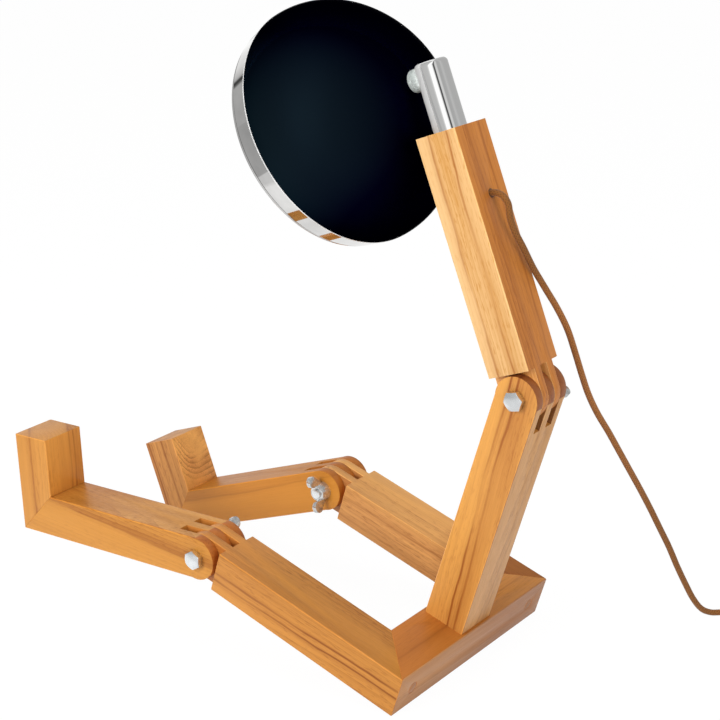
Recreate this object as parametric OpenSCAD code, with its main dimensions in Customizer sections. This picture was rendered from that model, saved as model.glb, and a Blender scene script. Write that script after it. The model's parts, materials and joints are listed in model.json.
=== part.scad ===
// Seated wooden figure lamp: jointed timber body, wing nut hinges, domed head on a tube neck, fabric cord.
// The figure faces -Y, its left side is +X, and it sits on the back edge of its seat and on its right heel.

/* [Timber] */
// Width of the timber, across the figure
stock_w = 50; // [40:1:64]
// Thickness of the timber
stock_t = 43; // [34:1:54]
// Radius of the eased long edges
edge_r = 1.5; // [0.5:0.25:3]

/* [Seat and legs] */
// Overall width of the seat frame
seat_w = 250; // [220:5:320]
// Length of a thigh, from the back of the seat to its shoulder
thigh_len = 221; // [180:1:280]
// Backward lean of the seat frame, knees up
seat_tilt = 18.6; // [10:0.1:22]
// Length of a shin, from the knee bolt to the sole
shin_len = 237.5; // [200:0.5:300]
// Height of a foot, from the underside of the shin
foot_h = 104; // [80:1:140]
// Bend of the left knee
left_bend = 19.4; // [0:0.1:30]

/* [Spine and torso] */
// Length of the spine, from the seat to the waist bolt
spine_len = 250; // [200:1:300]
// Length of the torso block
torso_len = 218; // [190:1:260]
// Forward bend of the waist
waist_bend = 38.4; // [20:0.1:45]
// Depth of the cable hole below the foot of the neck tube
cable_drop = 23; // [16:1:60]

/* [Finger hinges] */
// Knee bolt to the shoulder of the thigh
knee_gap = 25; // [24:0.5:32]
// Waist bolt to the shoulder of the torso
waist_gap = 23; // [22.5:0.5:30]
// Depth of the finger slots past the bolt
slot_depth = 27; // [25:0.5:34]
// Side clearance between fingers and tongues
side_gap = 0.2; // [0.1:0.05:0.4]

/* [Bolts and wing nuts] */
// Diameter of the hinge bolts
bolt_d = 10; // [8:1:12]
// Radial clearance of a running fit
run_fit = 0.05; // [0.02:0.01:0.1]
// Width of a bolt head across its flats
head_af = 17; // [15:1:19]
// Height of a bolt head
head_h = 6.4; // [5:0.1:8]
// Diameter of a wing nut at its seat
nut_d = 20; // [18:0.5:24]
// Diameter of a wing nut at its outer end
nut_end_d = 16; // [15.5:0.5:18]
// Height of the boss of a wing nut
nut_h = 10.5; // [8:0.5:14]
// Span of the wings
wing_span = 39; // [34:1:46]
// Height of the wings above the timber
wing_h = 20; // [18:0.5:24]
// Thickness of the wings
wing_t = 4.5; // [3:0.5:6]
// Bolt thread that stands past the nut
thread_over = 2; // [1:0.5:6]

/* [Joinery] */
// Diameter of the dowels
dowel_d = 8; // [6:1:10]
// Length of the dowels
dowel_len = 30; // [24:1:34]
// Distance between the two dowels of a joint
dowel_pitch = 24; // [18:1:26]
// Diameter of the round plugs over the corner screws
plug_cap_d = 12; // [10:1:16]
// Depth of the round plugs
plug_cap_len = 8; // [6:1:10]
// Diameter of the corner screws
screw_d = 5; // [4:0.5:6]
// Length of the corner screws
screw_len = 70; // [50:5:90]
// Radial clearance round glued pieces
glue_gap = 0.02; // [0.02:0.01:0.1]

/* [Neck] */
// Outer diameter of the neck tube
tube_d = 30; // [27:1:32]
// Wall of the neck tube
tube_wall = 2; // [1.5:0.25:3]
// Neck tube above the torso
tube_out = 61; // [61:1:80]
// Neck tube inside the torso
tube_in = 40; // [30:1:50]
// Rounding of the top of the tube
tube_round = 4; // [2:0.5:6]
// Turn of the neck to the figure's right
neck_turn = 4.9; // [0:0.1:10]
// Height of the ball joint above the torso
ball_h = 48.5; // [48:0.5:48.5]
// Distance of the ball from the tube's axis
ball_out = 20; // [19.5:0.25:23]
// Diameter of the ball
ball_d = 16; // [14:0.5:17]
// Clearance between the ball and its cup
ball_gap = 0.1; // [0.05:0.05:0.2]
// Diameter of the cup
cup_d = 21; // [20:0.5:23]
// Reach of the cup past the middle of the ball
cup_lip = 2.5; // [1.5:0.25:3]
// Diameter of the cup's spigot in the tube wall
spigot_d = 15; // [13:0.5:16]
// Diameter of the cross pin that the ball tilts on
trunnion_d = 3; // [2:0.5:3]

/* [Head] */
// Diameter of the head at the back of its rim
head_d = 230; // [200:2:240]
// Depth of the dome
dome_depth = 92.5; // [85:0.5:100]
// Radius of the dome's shoulder
shoulder_r = 70; // [62:1:74]
// Ball centre to the back of the dome
dome_gap = 6.5; // [6.5:0.25:10]
// Wall of the dome
shell_wall = 1.2; // [0.8:0.1:2]
// Depth of the bright rim
rim_depth = 24; // [20:1:30]
// Inward step of the rim, from its back edge to its front edge
rim_step = 5; // [3:0.5:8]
// Wall of the rim
rim_wall = 1.5; // [1:0.1:2]
// Width of the rim's front lip
rim_lip = 6; // [5:0.5:8]
// Length of the rim's spigot inside the dome
rim_spigot = 6; // [4:0.5:10]
// Thickness of the glass
glass_t = 3; // [2:0.5:4]
// Height of the glass at its middle
glass_crown = 10; // [5:0.5:20]
// Thickness of the seal on each face of the glass
seal_t = 2; // [1:0.25:3]
// Downward tilt of the head from square to the neck
head_tilt = 8.5; // [0:0.1:9]

/* [Light source] */
// Wall of the reflector
reflector_wall = 1.2; // [0.8:0.1:2]
// Diameter of the lamp holder
holder_d = 32; // [28:1:38]
// Length of the lamp holder
holder_len = 22; // [18:1:26]
// Diameter of the bulb
bulb_d = 48; // [36:1:54]
// Diameter of the bulb's base
bulb_base_d = 24; // [18:1:26]

/* [Cord] */
// Diameter of the cord
cord_d = 6; // [4.5:0.25:6.2]
// Diameter of the flex inside the figure
flex_d = 5; // [4:0.25:5.5]
// Radius of the cord's bend where it leaves the torso
bend_r = 13.5; // [13:0.5:20]
// Wall of the bush that the cord comes out of
grommet_wall = 1.2; // [1:0.1:2]
// Step between neighbouring turns of the coil
coil_pitch = 6.6; // [6.6:0.1:8]
// Radius of the innermost turn of the coil
coil_in_r = 25; // [22:1:30]
// Turns in the lower layer of the coil
coil_low_turns = 2.5; // [1.5:0.5:3.5]
// Turns in the upper layer of the coil
coil_top_turns = 2.25; // [1.25:0.5:3.25]

/* [Cord switch and plug] */
// Length of the cord switch
switch_len = 60; // [54:1:76]
// Width of the cord switch
switch_w = 26; // [24:1:32]
// Height of the lower half of the switch
switch_base_h = 9; // [8:0.5:12]
// Height of the upper half of the switch
switch_cover_h = 8; // [7.5:0.5:10]
// Length of the rocker
rocker_len = 20; // [16:1:24]
// Width of the rocker
rocker_w = 10; // [8:0.5:12]
// Tilt of the rocker when off
rocker_tilt = 8; // [4:1:8]
// Clearance round the rocker
rocker_gap = 0.8; // [0.6:0.1:1.2]
// Length of the tapered sleeves on the switch and the plug
sleeve_len = 20; // [20:0.5:22]
// Diameter of the plug
plug_d = 28; // [26:1:34]
// Length of the plug
plug_len = 50; // [40:1:56]
// Diameter of the plug's pins
pin_d = 4.8; // [4:0.1:5]
// Length of the plug's pins
pin_len = 19; // [17:0.5:20]
// Distance between the plug's pins
pin_pitch = 18; // [15:0.5:19]

/* [Hidden] */

$fn = 64;
cut = 1;
left = 1;
right = -1;
half_t = stock_t / 2;
half_w = stock_w / 2;

// Finger hinges: five equal divisions across the timber
division = stock_w / 5;
tongue_w = division - 2 * side_gap;
bore_r = bolt_d / 2 + run_fit;

// Seat frame, laid out flat before it leans back
leg_x = seat_w / 2 - half_w;
knee_v = thigh_len + knee_gap;
waist_h = stock_t + spine_len;
seat_lift = edge_r * (1 - sin(seat_tilt) - cos(seat_tilt));
knee_y = half_t * sin(seat_tilt) - knee_v * cos(seat_tilt);
knee_z = seat_lift + knee_v * sin(seat_tilt) + half_t * cos(seat_tilt);
waist_y = waist_h * sin(seat_tilt) - half_w * cos(seat_tilt);

// The right knee bends until its heel stands on the floor
heel_reach = norm([shin_len, half_t]);
right_slope = atan(half_t / shin_len) - asin(knee_z / heel_reach);
right_bend = seat_tilt - right_slope;

// The origin lies on the floor under the middle of the figure
function toe_y(slope) = knee_y - shin_len * cos(slope) + (foot_h - half_t) * sin(slope);
front_y = min(toe_y(seat_tilt - left_bend), toe_y(right_slope));
figure_y = -(front_y + waist_y + half_t) / 2;

// Torso and neck
torso_top = waist_gap + torso_len;
cable_h = torso_top - tube_in - cable_drop;
tube_r = tube_d / 2;
bore_in_tube = tube_r - tube_wall;
tube_cap = 2.5;
ball_r = ball_d / 2;
cup_end = ball_out + cup_lip;
flex_bore_r = flex_d / 2 + 0.8;
grommet_body_r = cord_d / 2 + grommet_wall;
grommet_len = 12;

// Head, measured along its axis from the ball
stud_r = 4;
stud_neck_r = 5;
ball_flat = dome_gap - 0.5;
stud_thread = 8;
stud_nut_h = 6.5;
stud_nut_r = 13 / 2 / cos(30);
wire_r = 2;
head_r = head_d / 2;
pole_u = dome_gap;
rim_u = pole_u + dome_depth;
shoulder_x = head_r - shoulder_r;
back_r = (shoulder_x ^ 2 + dome_depth ^ 2 - shoulder_r ^ 2) / (2 * (dome_depth - shoulder_r));
back_u = pole_u + back_r;
front_u = rim_u + rim_depth;
rim_front_r = head_r - rim_step;
rim_arc = (rim_depth ^ 2 + rim_step ^ 2) / (2 * rim_step);
lip_in = rim_front_r - rim_lip;
seat_gap = 0.1;
glass_u = front_u - rim_wall - seal_t - glass_t;
seal_r = rim_front_r - rim_wall - 0.5;
seal_edge = 2;
glass_r = seal_r - seal_edge;
glass_arc = (glass_r ^ 2 + glass_crown ^ 2) / (2 * glass_crown);
seal_u = glass_u - seal_t;
bowl_r = lip_in - 4;
holder_r = holder_d / 2;
holder_u = pole_u + shell_wall + stud_thread + 1;
neck_u = holder_u + holder_len - 2;
collar_len = 8;
bowl_curve = (seal_u - reflector_wall - neck_u) / (bowl_r ^ 2 - holder_r ^ 2);
stud_nut_u = back_u - sqrt((back_r - shell_wall) ^ 2 - stud_nut_r ^ 2);
bulb_seat = 10;
bulb_base_len = 22;
bulb_r = bulb_d / 2;

// Shared placements
module seat_place() {
    translate([0, figure_y, seat_lift]) rotate([-seat_tilt, 0, 0]) children();
}
module knee_place(side) {
    seat_place() translate([side * leg_x, -knee_v, half_t]) children();
}
module shin_place(side) {
    knee_place(side) rotate([side == left ? left_bend : right_bend, 0, 0]) children();
}
module waist_place() {
    seat_place() translate([0, -half_w, waist_h]) children();
}
module torso_place() {
    waist_place() rotate([waist_bend, 0, 0]) children();
}
module neck_place() {
    torso_place() translate([0, 0, torso_top]) rotate([0, 0, -neck_turn]) children();
}
module head_place() {
    neck_place() translate([0, -ball_out, ball_h]) rotate([90 + head_tilt, 0, 0]) children();
}

// Timber with eased long edges, standing along Z
module eased_rect(w, t, r) {
    square([w - 2 * r, t], center = true);
    square([w, t - 2 * r], center = true);
    for (sx = [-1, 1], sy = [-1, 1])
        translate([sx * (w / 2 - r), sy * (t / 2 - r)]) circle(r);
}
module timber(length) {
    linear_extrude(length) eased_rect(stock_w, stock_t, edge_r);
}

// A round hole along the hinge axis
module bolt_bore() {
    rotate([0, 90, 0]) cylinder(r = bore_r, h = stock_w + 2 * cut, center = true);
}

// Timber that ends in three rounded fingers round the bolt
module forked_timber(length) {
    difference() {
        union() {
            timber(length);
            rotate([0, 90, 0]) cylinder(r = half_t, h = stock_w, center = true);
        }
        for (s = [-1, 1])
            translate([s * division - division / 2, -half_t - cut, -half_t - cut])
                cube([division, stock_t + 2 * cut, half_t + cut + slot_depth]);
        bolt_bore();
    }
}

// Timber that ends in two rounded tongues, which run in a fork's slots
module tongued_timber(length, gap) {
    difference() {
        union() {
            translate([0, 0, gap]) timber(length);
            for (s = [-1, 1])
                translate([s * division - tongue_w / 2, 0, 0]) rotate([90, 0, 90]) linear_extrude(tongue_w) {
                    circle(half_t);
                    translate([-half_t, 0]) square([stock_t, gap + cut]);
                }
        }
        bolt_bore();
    }
}

// A prism across the figure, from points given as [along, up]
module across(points) {
    rotate([90, 0, 90]) linear_extrude(stock_w + 2 * cut, center = true)
        polygon([for (p = points) [p[1], p[0]]]);
}

// Dowels of one joint, standing across its face
module dowel_pair(gap) {
    for (s = [-1, 1])
        translate([s * dowel_pitch / 2, 0, 0]) cylinder(d = dowel_d + 2 * gap, h = dowel_len + 2 * gap, center = true);
}

// Hex bolt through a hinge, its head on the side that is named
module hinge_bolt(side) {
    head_r = head_af / 2 / cos(30);
    shank_len = stock_w + nut_h + thread_over;
    rotate([0, 90 * side, 0]) {
        difference() {
            translate([0, 0, half_w]) cylinder(r = head_r, h = head_h, $fn = 6);
            translate([0, 0, half_w + head_h]) rotate_extrude()
                polygon([[head_af / 2 - 0.4, 0.01], [head_r + cut, 0.01], [head_r + cut, -0.9 - 0.6 * cut]]);
        }
        translate([0, 0, half_w - shank_len]) cylinder(r = bolt_d / 2, h = shank_len);
    }
}

// Wing nut with two upswept ears, its seat at z = 0
module wing_nut() {
    tip_r = 6;
    tip_x = wing_span / 2 - tip_r;
    root_x = nut_end_d / 2 - 2;
    difference() {
        union() {
            cylinder(d1 = nut_d, d2 = nut_end_d, h = nut_h);
            for (turn = [0, 180]) rotate([90, 0, turn]) linear_extrude(wing_t, center = true) {
                translate([tip_x, wing_h - tip_r]) circle(tip_r);
                polygon([
                    [root_x, 2], [nut_d / 2, 2], [wing_span / 2 - 0.3, wing_h - tip_r - 2],
                    [tip_x - 2, wing_h - 0.4], [nut_end_d / 2, nut_h], [root_x, nut_h]
                ]);
            }
        }
        translate([0, 0, -cut]) cylinder(r = bore_r, h = nut_h + 2 * cut);
    }
}
module wing_nut_on(side, turn) {
    rotate([0, -90 * side, 0]) translate([0, 0, half_w]) rotate([0, 0, turn]) wing_nut();
}

// Seat frame
module seat_bar() {
    color("peru") seat_place() difference() {
        intersection() {
            translate([-seat_w / 2, -half_w, half_t]) rotate([90, 0, 90]) timber(seat_w);
            translate([0, 0, -cut]) linear_extrude(stock_t + 2 * cut) polygon([
                [-seat_w / 2 - cut, cut], [seat_w / 2 + cut, cut],
                [seat_w / 2 - stock_w - cut, -stock_w - cut], [stock_w + cut - seat_w / 2, -stock_w - cut]
            ]);
        }
        corner_holes();
        spine_dowel_place() dowel_pair(glue_gap);
    }
}
module thigh(side) {
    outer = side * (half_w + cut);
    difference() {
        knee_place(side) rotate([-90, 0, 0]) difference() {
            tongued_timber(thigh_len, knee_gap);
            rotate([90, 0, 0]) linear_extrude(stock_t + 2 * cut, center = true)
                polygon([[outer, knee_v + cut], [-outer, knee_v + cut], [-outer, knee_v - stock_w - cut]]);
        }
        seat_place() corner_holes();
    }
}
module left_thigh() { color("sandybrown") thigh(left); }
module right_thigh() { color("sandybrown") thigh(right); }
module spine() {
    color("peru") difference() {
        waist_place() rotate([180, 0, 0]) forked_timber(spine_len);
        seat_place() spine_dowel_place() dowel_pair(glue_gap);
    }
}

// Joinery of the seat frame
module corner_place(side) {
    translate([side * leg_x, 0, half_t]) rotate([90, 0, 0]) children();
}
module corner_screw_at(gap) {
    translate([0, 0, plug_cap_len]) {
        cylinder(d1 = 2 * (screw_d + gap), d2 = screw_d + 2 * gap, h = screw_d / 2);
        cylinder(d = screw_d + 2 * gap, h = screw_len + gap);
    }
}
module corner_holes() {
    for (side = [left, right]) corner_place(side) {
        translate([0, 0, -cut]) cylinder(d = plug_cap_d + 2 * glue_gap, h = plug_cap_len + cut);
        corner_screw_at(glue_gap);
    }
}
module corner_plugs() {
    color("burlywood") seat_place() for (side = [left, right])
        corner_place(side) cylinder(d = plug_cap_d, h = plug_cap_len);
}
module corner_screws() {
    color("gainsboro") seat_place() for (side = [left, right]) corner_place(side) corner_screw_at(0);
}
module spine_dowel_place() {
    translate([0, -half_w, stock_t]) children();
}
module spine_dowels() {
    color("burlywood") seat_place() spine_dowel_place() dowel_pair(0);
}

// Hinge hardware
module waist_bolt() { color("silver") waist_place() hinge_bolt(left); }
module waist_wing_nut() { color("lightgray") waist_place() wing_nut_on(left, 110); }
module left_knee_bolt() { color("silver") shin_place(left) hinge_bolt(left); }
module left_knee_wing_nut() { color("lightgray") shin_place(left) wing_nut_on(left, 160); }
module right_knee_bolt() { color("silver") shin_place(right) hinge_bolt(right); }
module right_knee_wing_nut() { color("lightgray") shin_place(right) wing_nut_on(right, 175); }

// Shins and feet: in the shin's own frame Z runs along it and Y is up
module foot_dowel_place() {
    translate([0, 0, shin_len - half_t]) rotate([-45, 0, 0]) children();
}
module shin(side) {
    shin_place(side) rotate([90, 0, 0]) difference() {
        forked_timber(shin_len);
        across([
            [shin_len + cut, -half_t - cut], [shin_len + cut, half_t + cut],
            [shin_len - stock_t - cut, half_t + cut]
        ]);
        foot_dowel_place() dowel_pair(glue_gap);
    }
}
module foot(side) {
    shin_place(side) rotate([90, 0, 0]) difference() {
        translate([0, -half_t, shin_len - half_t]) rotate([-90, 0, 0]) timber(foot_h);
        across([
            [shin_len + cut, -half_t - cut], [shin_len - stock_t - cut, half_t + cut],
            [shin_len - stock_t - cut, -half_t - cut]
        ]);
        foot_dowel_place() dowel_pair(glue_gap);
    }
}
module foot_dowels(side) {
    shin_place(side) rotate([90, 0, 0]) foot_dowel_place() dowel_pair(0);
}
module left_shin() { color("peru") shin(left); }
module right_shin() { color("peru") shin(right); }
module left_foot() { color("sandybrown") foot(left); }
module right_foot() { color("sandybrown") foot(right); }
module left_foot_dowels() { color("burlywood") foot_dowels(left); }
module right_foot_dowels() { color("burlywood") foot_dowels(right); }

// Torso, with the neck socket and the channel for the flex
module torso() {
    color("sandybrown") torso_place() difference() {
        tongued_timber(torso_len, waist_gap);
        translate([0, 0, torso_top - tube_in]) cylinder(r = tube_r + run_fit, h = tube_in + cut);
        translate([0, 0, cable_h]) {
            cylinder(r = flex_bore_r, h = torso_top - cable_h);
            sphere(r = flex_bore_r);
            rotate([-90, 0, 0]) cylinder(r = flex_bore_r, h = half_t);
            translate([0, half_t - grommet_len, 0]) rotate([-90, 0, 0])
                cylinder(r = grommet_body_r + glue_gap, h = grommet_len + cut);
        }
    }
}
module grommet_place() {
    torso_place() translate([0, half_t, cable_h]) rotate([-90, 0, 0]) children();
}
module cable_grommet() {
    color("saddlebrown") grommet_place() translate([0, 0, -grommet_len]) difference() {
        cylinder(r = grommet_body_r, h = grommet_len);
        translate([0, 0, -cut]) cylinder(r = cord_d / 2 + glue_gap, h = grommet_len + 2 * cut);
    }
}
module inner_flex() {
    color("dimgray") torso_place() translate([0, 0, cable_h]) {
        rotate([-90, 0, 0]) cylinder(d = flex_d, h = half_t - cord_d);
        sphere(d = flex_d);
        cylinder(d = flex_d, h = torso_top - cable_h + ball_h - ball_r);
    }
}

// Neck
module neck_tube() {
    color("lightslategray") neck_place() difference() {
        translate([0, 0, -tube_in]) rotate_extrude() difference() {
            union() {
                square([tube_r, tube_in + tube_out - tube_round]);
                square([tube_r - tube_round, tube_in + tube_out]);
                translate([tube_r - tube_round, tube_in + tube_out - tube_round]) circle(tube_round);
            }
            translate([-tube_r, -cut]) square([tube_r + bore_in_tube, tube_in + tube_out - tube_cap + cut]);
        }
        translate([0, 0, ball_h]) rotate([90, 0, 0]) cylinder(r = spigot_d / 2 + glue_gap, h = tube_d);
    }
}
module ball_cup() {
    color("gainsboro") neck_place() translate([0, 0, ball_h]) rotate([90, 0, 0]) difference() {
        union() {
            difference() {
                cylinder(d = cup_d, h = cup_end);
                rotate([90, 0, 0]) cylinder(r = tube_r + glue_gap, h = 2 * cup_d, center = true);
            }
            translate([0, 0, bore_in_tube]) cylinder(d = spigot_d, h = ball_out - bore_in_tube);
        }
        translate([0, 0, ball_out]) {
            sphere(r = ball_r + ball_gap);
            rotate([0, 90, 0]) cylinder(r = trunnion_d / 2 + run_fit, h = cup_d + 2 * cut, center = true);
        }
        cylinder(r = wire_r + 1, h = ball_out);
    }
}

// Head: every piece is turned about the head's axis
module ball_stud() {
    color("silver") head_place() difference() {
        union() {
            intersection() {
                sphere(r = ball_r);
                cylinder(r = ball_d, h = 2 * ball_flat, center = true);
            }
            rotate([0, 90, 0]) cylinder(d = trunnion_d, h = cup_d - 4 * seat_gap, center = true);
            cylinder(r = stud_neck_r, h = pole_u);
            cylinder(r = stud_r, h = pole_u + shell_wall + stud_thread);
        }
        translate([0, 0, -ball_d]) cylinder(r = wire_r, h = ball_d + rim_u);
    }
}
module stud_nut() {
    color("silver") head_place() translate([0, 0, stud_nut_u]) difference() {
        cylinder(r = stud_nut_r, h = stud_nut_h, $fn = 6);
        translate([0, 0, -cut]) cylinder(r = stud_r + glue_gap, h = stud_nut_h + 2 * cut);
    }
}

// Half section of the dome: a wide arc behind, which turns into the shoulder arc
module dome_section(inset) {
    ray = [shoulder_x, rim_u - back_u] / norm([shoulder_x, rim_u - back_u]);
    far = 2 * back_r;
    intersection() {
        translate([0, pole_u - cut]) square([head_d, dome_depth + cut]);
        union() {
            translate([shoulder_x, rim_u]) circle(shoulder_r - inset);
            intersection() {
                translate([0, back_u]) circle(back_r - inset);
                polygon([[0, back_u], [ray[0] * far, back_u + ray[1] * far], [0, back_u - 2 * far]]);
            }
        }
    }
}
module head_shell() {
    color([0.05, 0.05, 0.06]) head_place() difference() {
        rotate_extrude() difference() {
            dome_section(0);
            dome_section(shell_wall);
        }
        cylinder(r = stud_r + glue_gap, h = rim_u / 2);
    }
}

// Half section of the rim: a bright arc, a front lip and a spigot inside the dome
module rim_section() {
    spigot_r = shoulder_x + sqrt((shoulder_r - shell_wall) ^ 2 - rim_spigot ^ 2) - seat_gap;
    arc_x = head_r - rim_arc;
    intersection() {
        translate([head_r / 2, rim_u]) square([head_r, rim_depth]);
        difference() {
            translate([arc_x, rim_u]) circle(rim_arc);
            translate([arc_x, rim_u]) circle(rim_arc - rim_wall);
        }
    }
    translate([lip_in, front_u - rim_wall]) square([rim_lip - rim_wall / 2, rim_wall]);
    translate([spigot_r - rim_wall, rim_u - rim_spigot]) square([rim_wall, rim_spigot + rim_wall]);
    translate([spigot_r - rim_wall, rim_u]) square([head_r - rim_wall / 2 - spigot_r + rim_wall, rim_wall]);
}
module rim_ring() {
    color("lightgray") head_place() rotate_extrude() rim_section();
}
module glass_section(gap) {
    intersection() {
        translate([0, glass_u - gap]) square([glass_r + gap, glass_crown + glass_t + 2 * gap]);
        translate([0, glass_u + glass_crown - glass_arc]) difference() {
            circle(glass_arc + glass_t + gap);
            circle(glass_arc - gap);
        }
    }
}
module glass_seal() {
    color("black") head_place() rotate_extrude() difference() {
        translate([lip_in, seal_u]) square([seal_r - lip_in, front_u - rim_wall - seal_u]);
        glass_section(glue_gap);
    }
}
module front_glass() {
    color("whitesmoke") head_place() rotate_extrude() glass_section(0);
}
module reflector() {
    steps = 12;
    bowl = [for (i = [0:steps]) let (x = holder_r + (bowl_r - holder_r) * i / steps)
        [x, neck_u + bowl_curve * (x ^ 2 - holder_r ^ 2)]];
    behind = [for (i = [steps:-1:1]) bowl[i] + reflector_wall * unit([2 * bowl_curve * bowl[i][0], -1])];
    color("silver") head_place() rotate_extrude() polygon(concat(
        bowl, [[bowl_r, seal_u], [seal_r, seal_u], [seal_r, seal_u - reflector_wall]],
        [[bowl_r + reflector_wall, seal_u - reflector_wall]], behind,
        [[holder_r + reflector_wall, neck_u - reflector_wall], [holder_r + reflector_wall, neck_u - collar_len]],
        [[holder_r, neck_u - collar_len]]
    ));
}
module lamp_holder() {
    color("dimgray") head_place() translate([0, 0, holder_u]) difference() {
        cylinder(r = holder_r - glue_gap, h = holder_len);
        translate([0, 0, holder_len - bulb_seat])
            cylinder(r = bulb_base_d / 2 + glue_gap, h = bulb_seat + cut);
    }
}
module bulb() {
    base_u = holder_u + holder_len - bulb_seat;
    ball_u = base_u + bulb_base_len + bulb_r - 6;
    color("ivory") head_place() {
        translate([0, 0, base_u]) cylinder(d = bulb_base_d, h = bulb_base_len);
        translate([0, 0, ball_u]) sphere(r = bulb_r);
    }
}

// Cord: a tube swept along a list of points, in rings that stay square to it
function unit(v) = v / norm(v);
function tangents(p) = [for (i = [0:len(p) - 1]) unit(p[min(i + 1, len(p) - 1)] - p[max(i - 1, 0)])];
function square_to(n, t) = unit(n - (n * t) * t);
function normals(t, seed) = [
    for (i = 0, n = square_to(seed, t[0]); i < len(t); i = i + 1, n = square_to(n, t[min(i, len(t) - 1)])) n
];
function rings(p, sides, seed) = let (t = tangents(p), n = normals(t, seed)) [
    for (i = [0:len(p) - 1]) [
        for (k = [0:sides - 1]) let (a = 360 * (k + 0.5) / sides)
            p[i] + cord_d / 2 * (cos(a) * n[i] + sin(a) * cross(t[i], n[i]))
    ]
];
module tube(ring) {
    sides = len(ring[0]);
    last = len(ring) - 1;
    polyhedron(
        points = [for (r = ring, p = r) p],
        faces = concat(
            [for (i = [0:last - 1], k = [0:sides - 1], h = [0, 1]) let (
                a = i * sides + k, b = i * sides + (k + 1) % sides, c = b + sides, d = a + sides
            ) h == 0 ? [a, d, c] : [a, c, b]],
            [for (k = [1:sides - 2]) [0, k, k + 1]],
            [for (k = [1:sides - 2]) [last * sides, last * sides + k + 1, last * sides + k]]
        )
    );
}

// Where the cord leaves the torso
waist_z = seat_lift + half_w * sin(seat_tilt) + waist_h * cos(seat_tilt);
lean = waist_bend - seat_tilt;
back_way = [0, cos(lean), sin(lean)];
up_way = [0, -sin(lean), cos(lean)];
waist_at = [0, figure_y + waist_y, waist_z];
cord_exit = waist_at + half_t * back_way + cable_h * up_way;

// The bend at the exit, after one diameter of straight cord in the bush
exit_bend = [for (turn = [0:22:110])
    cord_exit + bend_r * ((cos(turn) - 1) * up_way + sin(turn) * back_way)];

// The hanging stretch, down to the floor on the figure's right
hang_points = concat(exit_bend, [
    [-1, 241.6, 439], [-4.5, 244.2, 427], [-11, 248.5, 412],
    [-20, 253, 392.5], [-31.5, 258.5, 372], [-43.5, 264, 351], [-53, 269, 330], [-61, 272, 308], [-68, 275, 286],
    [-76, 278, 264], [-86, 282, 243], [-98, 288, 221], [-110, 293, 199], [-122, 298, 177], [-134, 303, 155],
    [-146, 308, 132], [-157, 313, 109], [-168, 318, 86], [-177, 323, 63], [-186, 328, 42], [-194, 333, 24],
    [-203, 338, 10.5], [-212, 344, 4.2]
]);
// The stretch on the floor, up to the cord switch
switch_at = [-230, 455, 0];
entry_z = 7;
switch_reach = switch_len / 2 + sleeve_len;
floor_points = [
    [-220, 352, 3], [-226, 362, 3], [-230, 373, 3.2], [-230, 386, 5.2],
    switch_at + [0, -switch_reach - cord_d, entry_z], switch_at + [0, -switch_reach, entry_z]
];
cord_sides = 10;
route = concat([cord_exit - cord_d * back_way], hang_points, floor_points, [switch_at + [0, -switch_len / 2, entry_z]]);
route_rings = rings(route, cord_sides, [1, 0, 0]);
hang_end = len(hang_points);
module cord_hang() {
    color("sienna") tube([for (i = [0:hang_end]) route_rings[i]]);
}
module cord_floor() {
    color("sienna") tube([for (i = [hang_end:len(route) - 1]) route_rings[i]]);
}

// The coil: two layers, inwards below and outwards above, with the climb in the innermost half turn
coil_steps = 24;
coil_out_r = coil_in_r + coil_pitch * coil_low_turns;
climb_turns = 0.5;
climb_dip = 1.5;
coil_turns = coil_low_turns + climb_turns + coil_top_turns;
coil_z = cord_d / 2;
coil_centre = switch_at + [coil_out_r, switch_reach + 30, 0];
function coil_r(n) =
    n < coil_low_turns ? coil_out_r - coil_pitch * n
    : n < coil_low_turns + climb_turns ? coil_in_r - climb_dip * sin(180 * (n - coil_low_turns) / climb_turns)
    : coil_in_r + coil_pitch * (n - coil_low_turns - climb_turns);
function ease(x) = let (y = min(max(x, 0), 1)) y * y * (3 - 2 * y);
function coil_rise(n) = coil_z + coil_pitch * ease((n - coil_low_turns) / climb_turns);
function coil_point(n) = coil_centre + [-cos(360 * n), sin(360 * n), 0] * coil_r(n) + [0, 0, coil_rise(n)];
coil_points = [for (i = [0:coil_turns * coil_steps]) coil_point(i / coil_steps)];
coil_end = coil_point(coil_turns);
plug_axis_z = plug_d / 2;
plug_lead = 36;
plug_at = [coil_end[0] + plug_lead, coil_end[1], plug_axis_z];
coil_route = concat(
    [for (y = [switch_len / 2, switch_reach, switch_reach + cord_d]) switch_at + [0, y, entry_z]],
    [switch_at + [0, switch_reach + 18, (entry_z + coil_z) / 2]],
    coil_points,
    [for (t = [1 / 3, 2 / 3, 1]) coil_end + [(plug_lead - cord_d) * t, 0, (plug_axis_z - coil_end[2]) * ease(t)]],
    [plug_at]
);
coil_sides = 6;
module cord_coil() {
    color("sienna") tube(rings(coil_route, coil_sides, [0, 0, 1]));
}
// Least gap between turns, past the neighbours of a point along the cord
skip = floor(coil_steps / 2);
coil_gap = min([for (i = [0:len(coil_points) - 1 - skip], j = [i + skip:len(coil_points) - 1])
    norm(coil_points[i] - coil_points[j])]) - cord_d;
echo(coil_least_gap = coil_gap);

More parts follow.
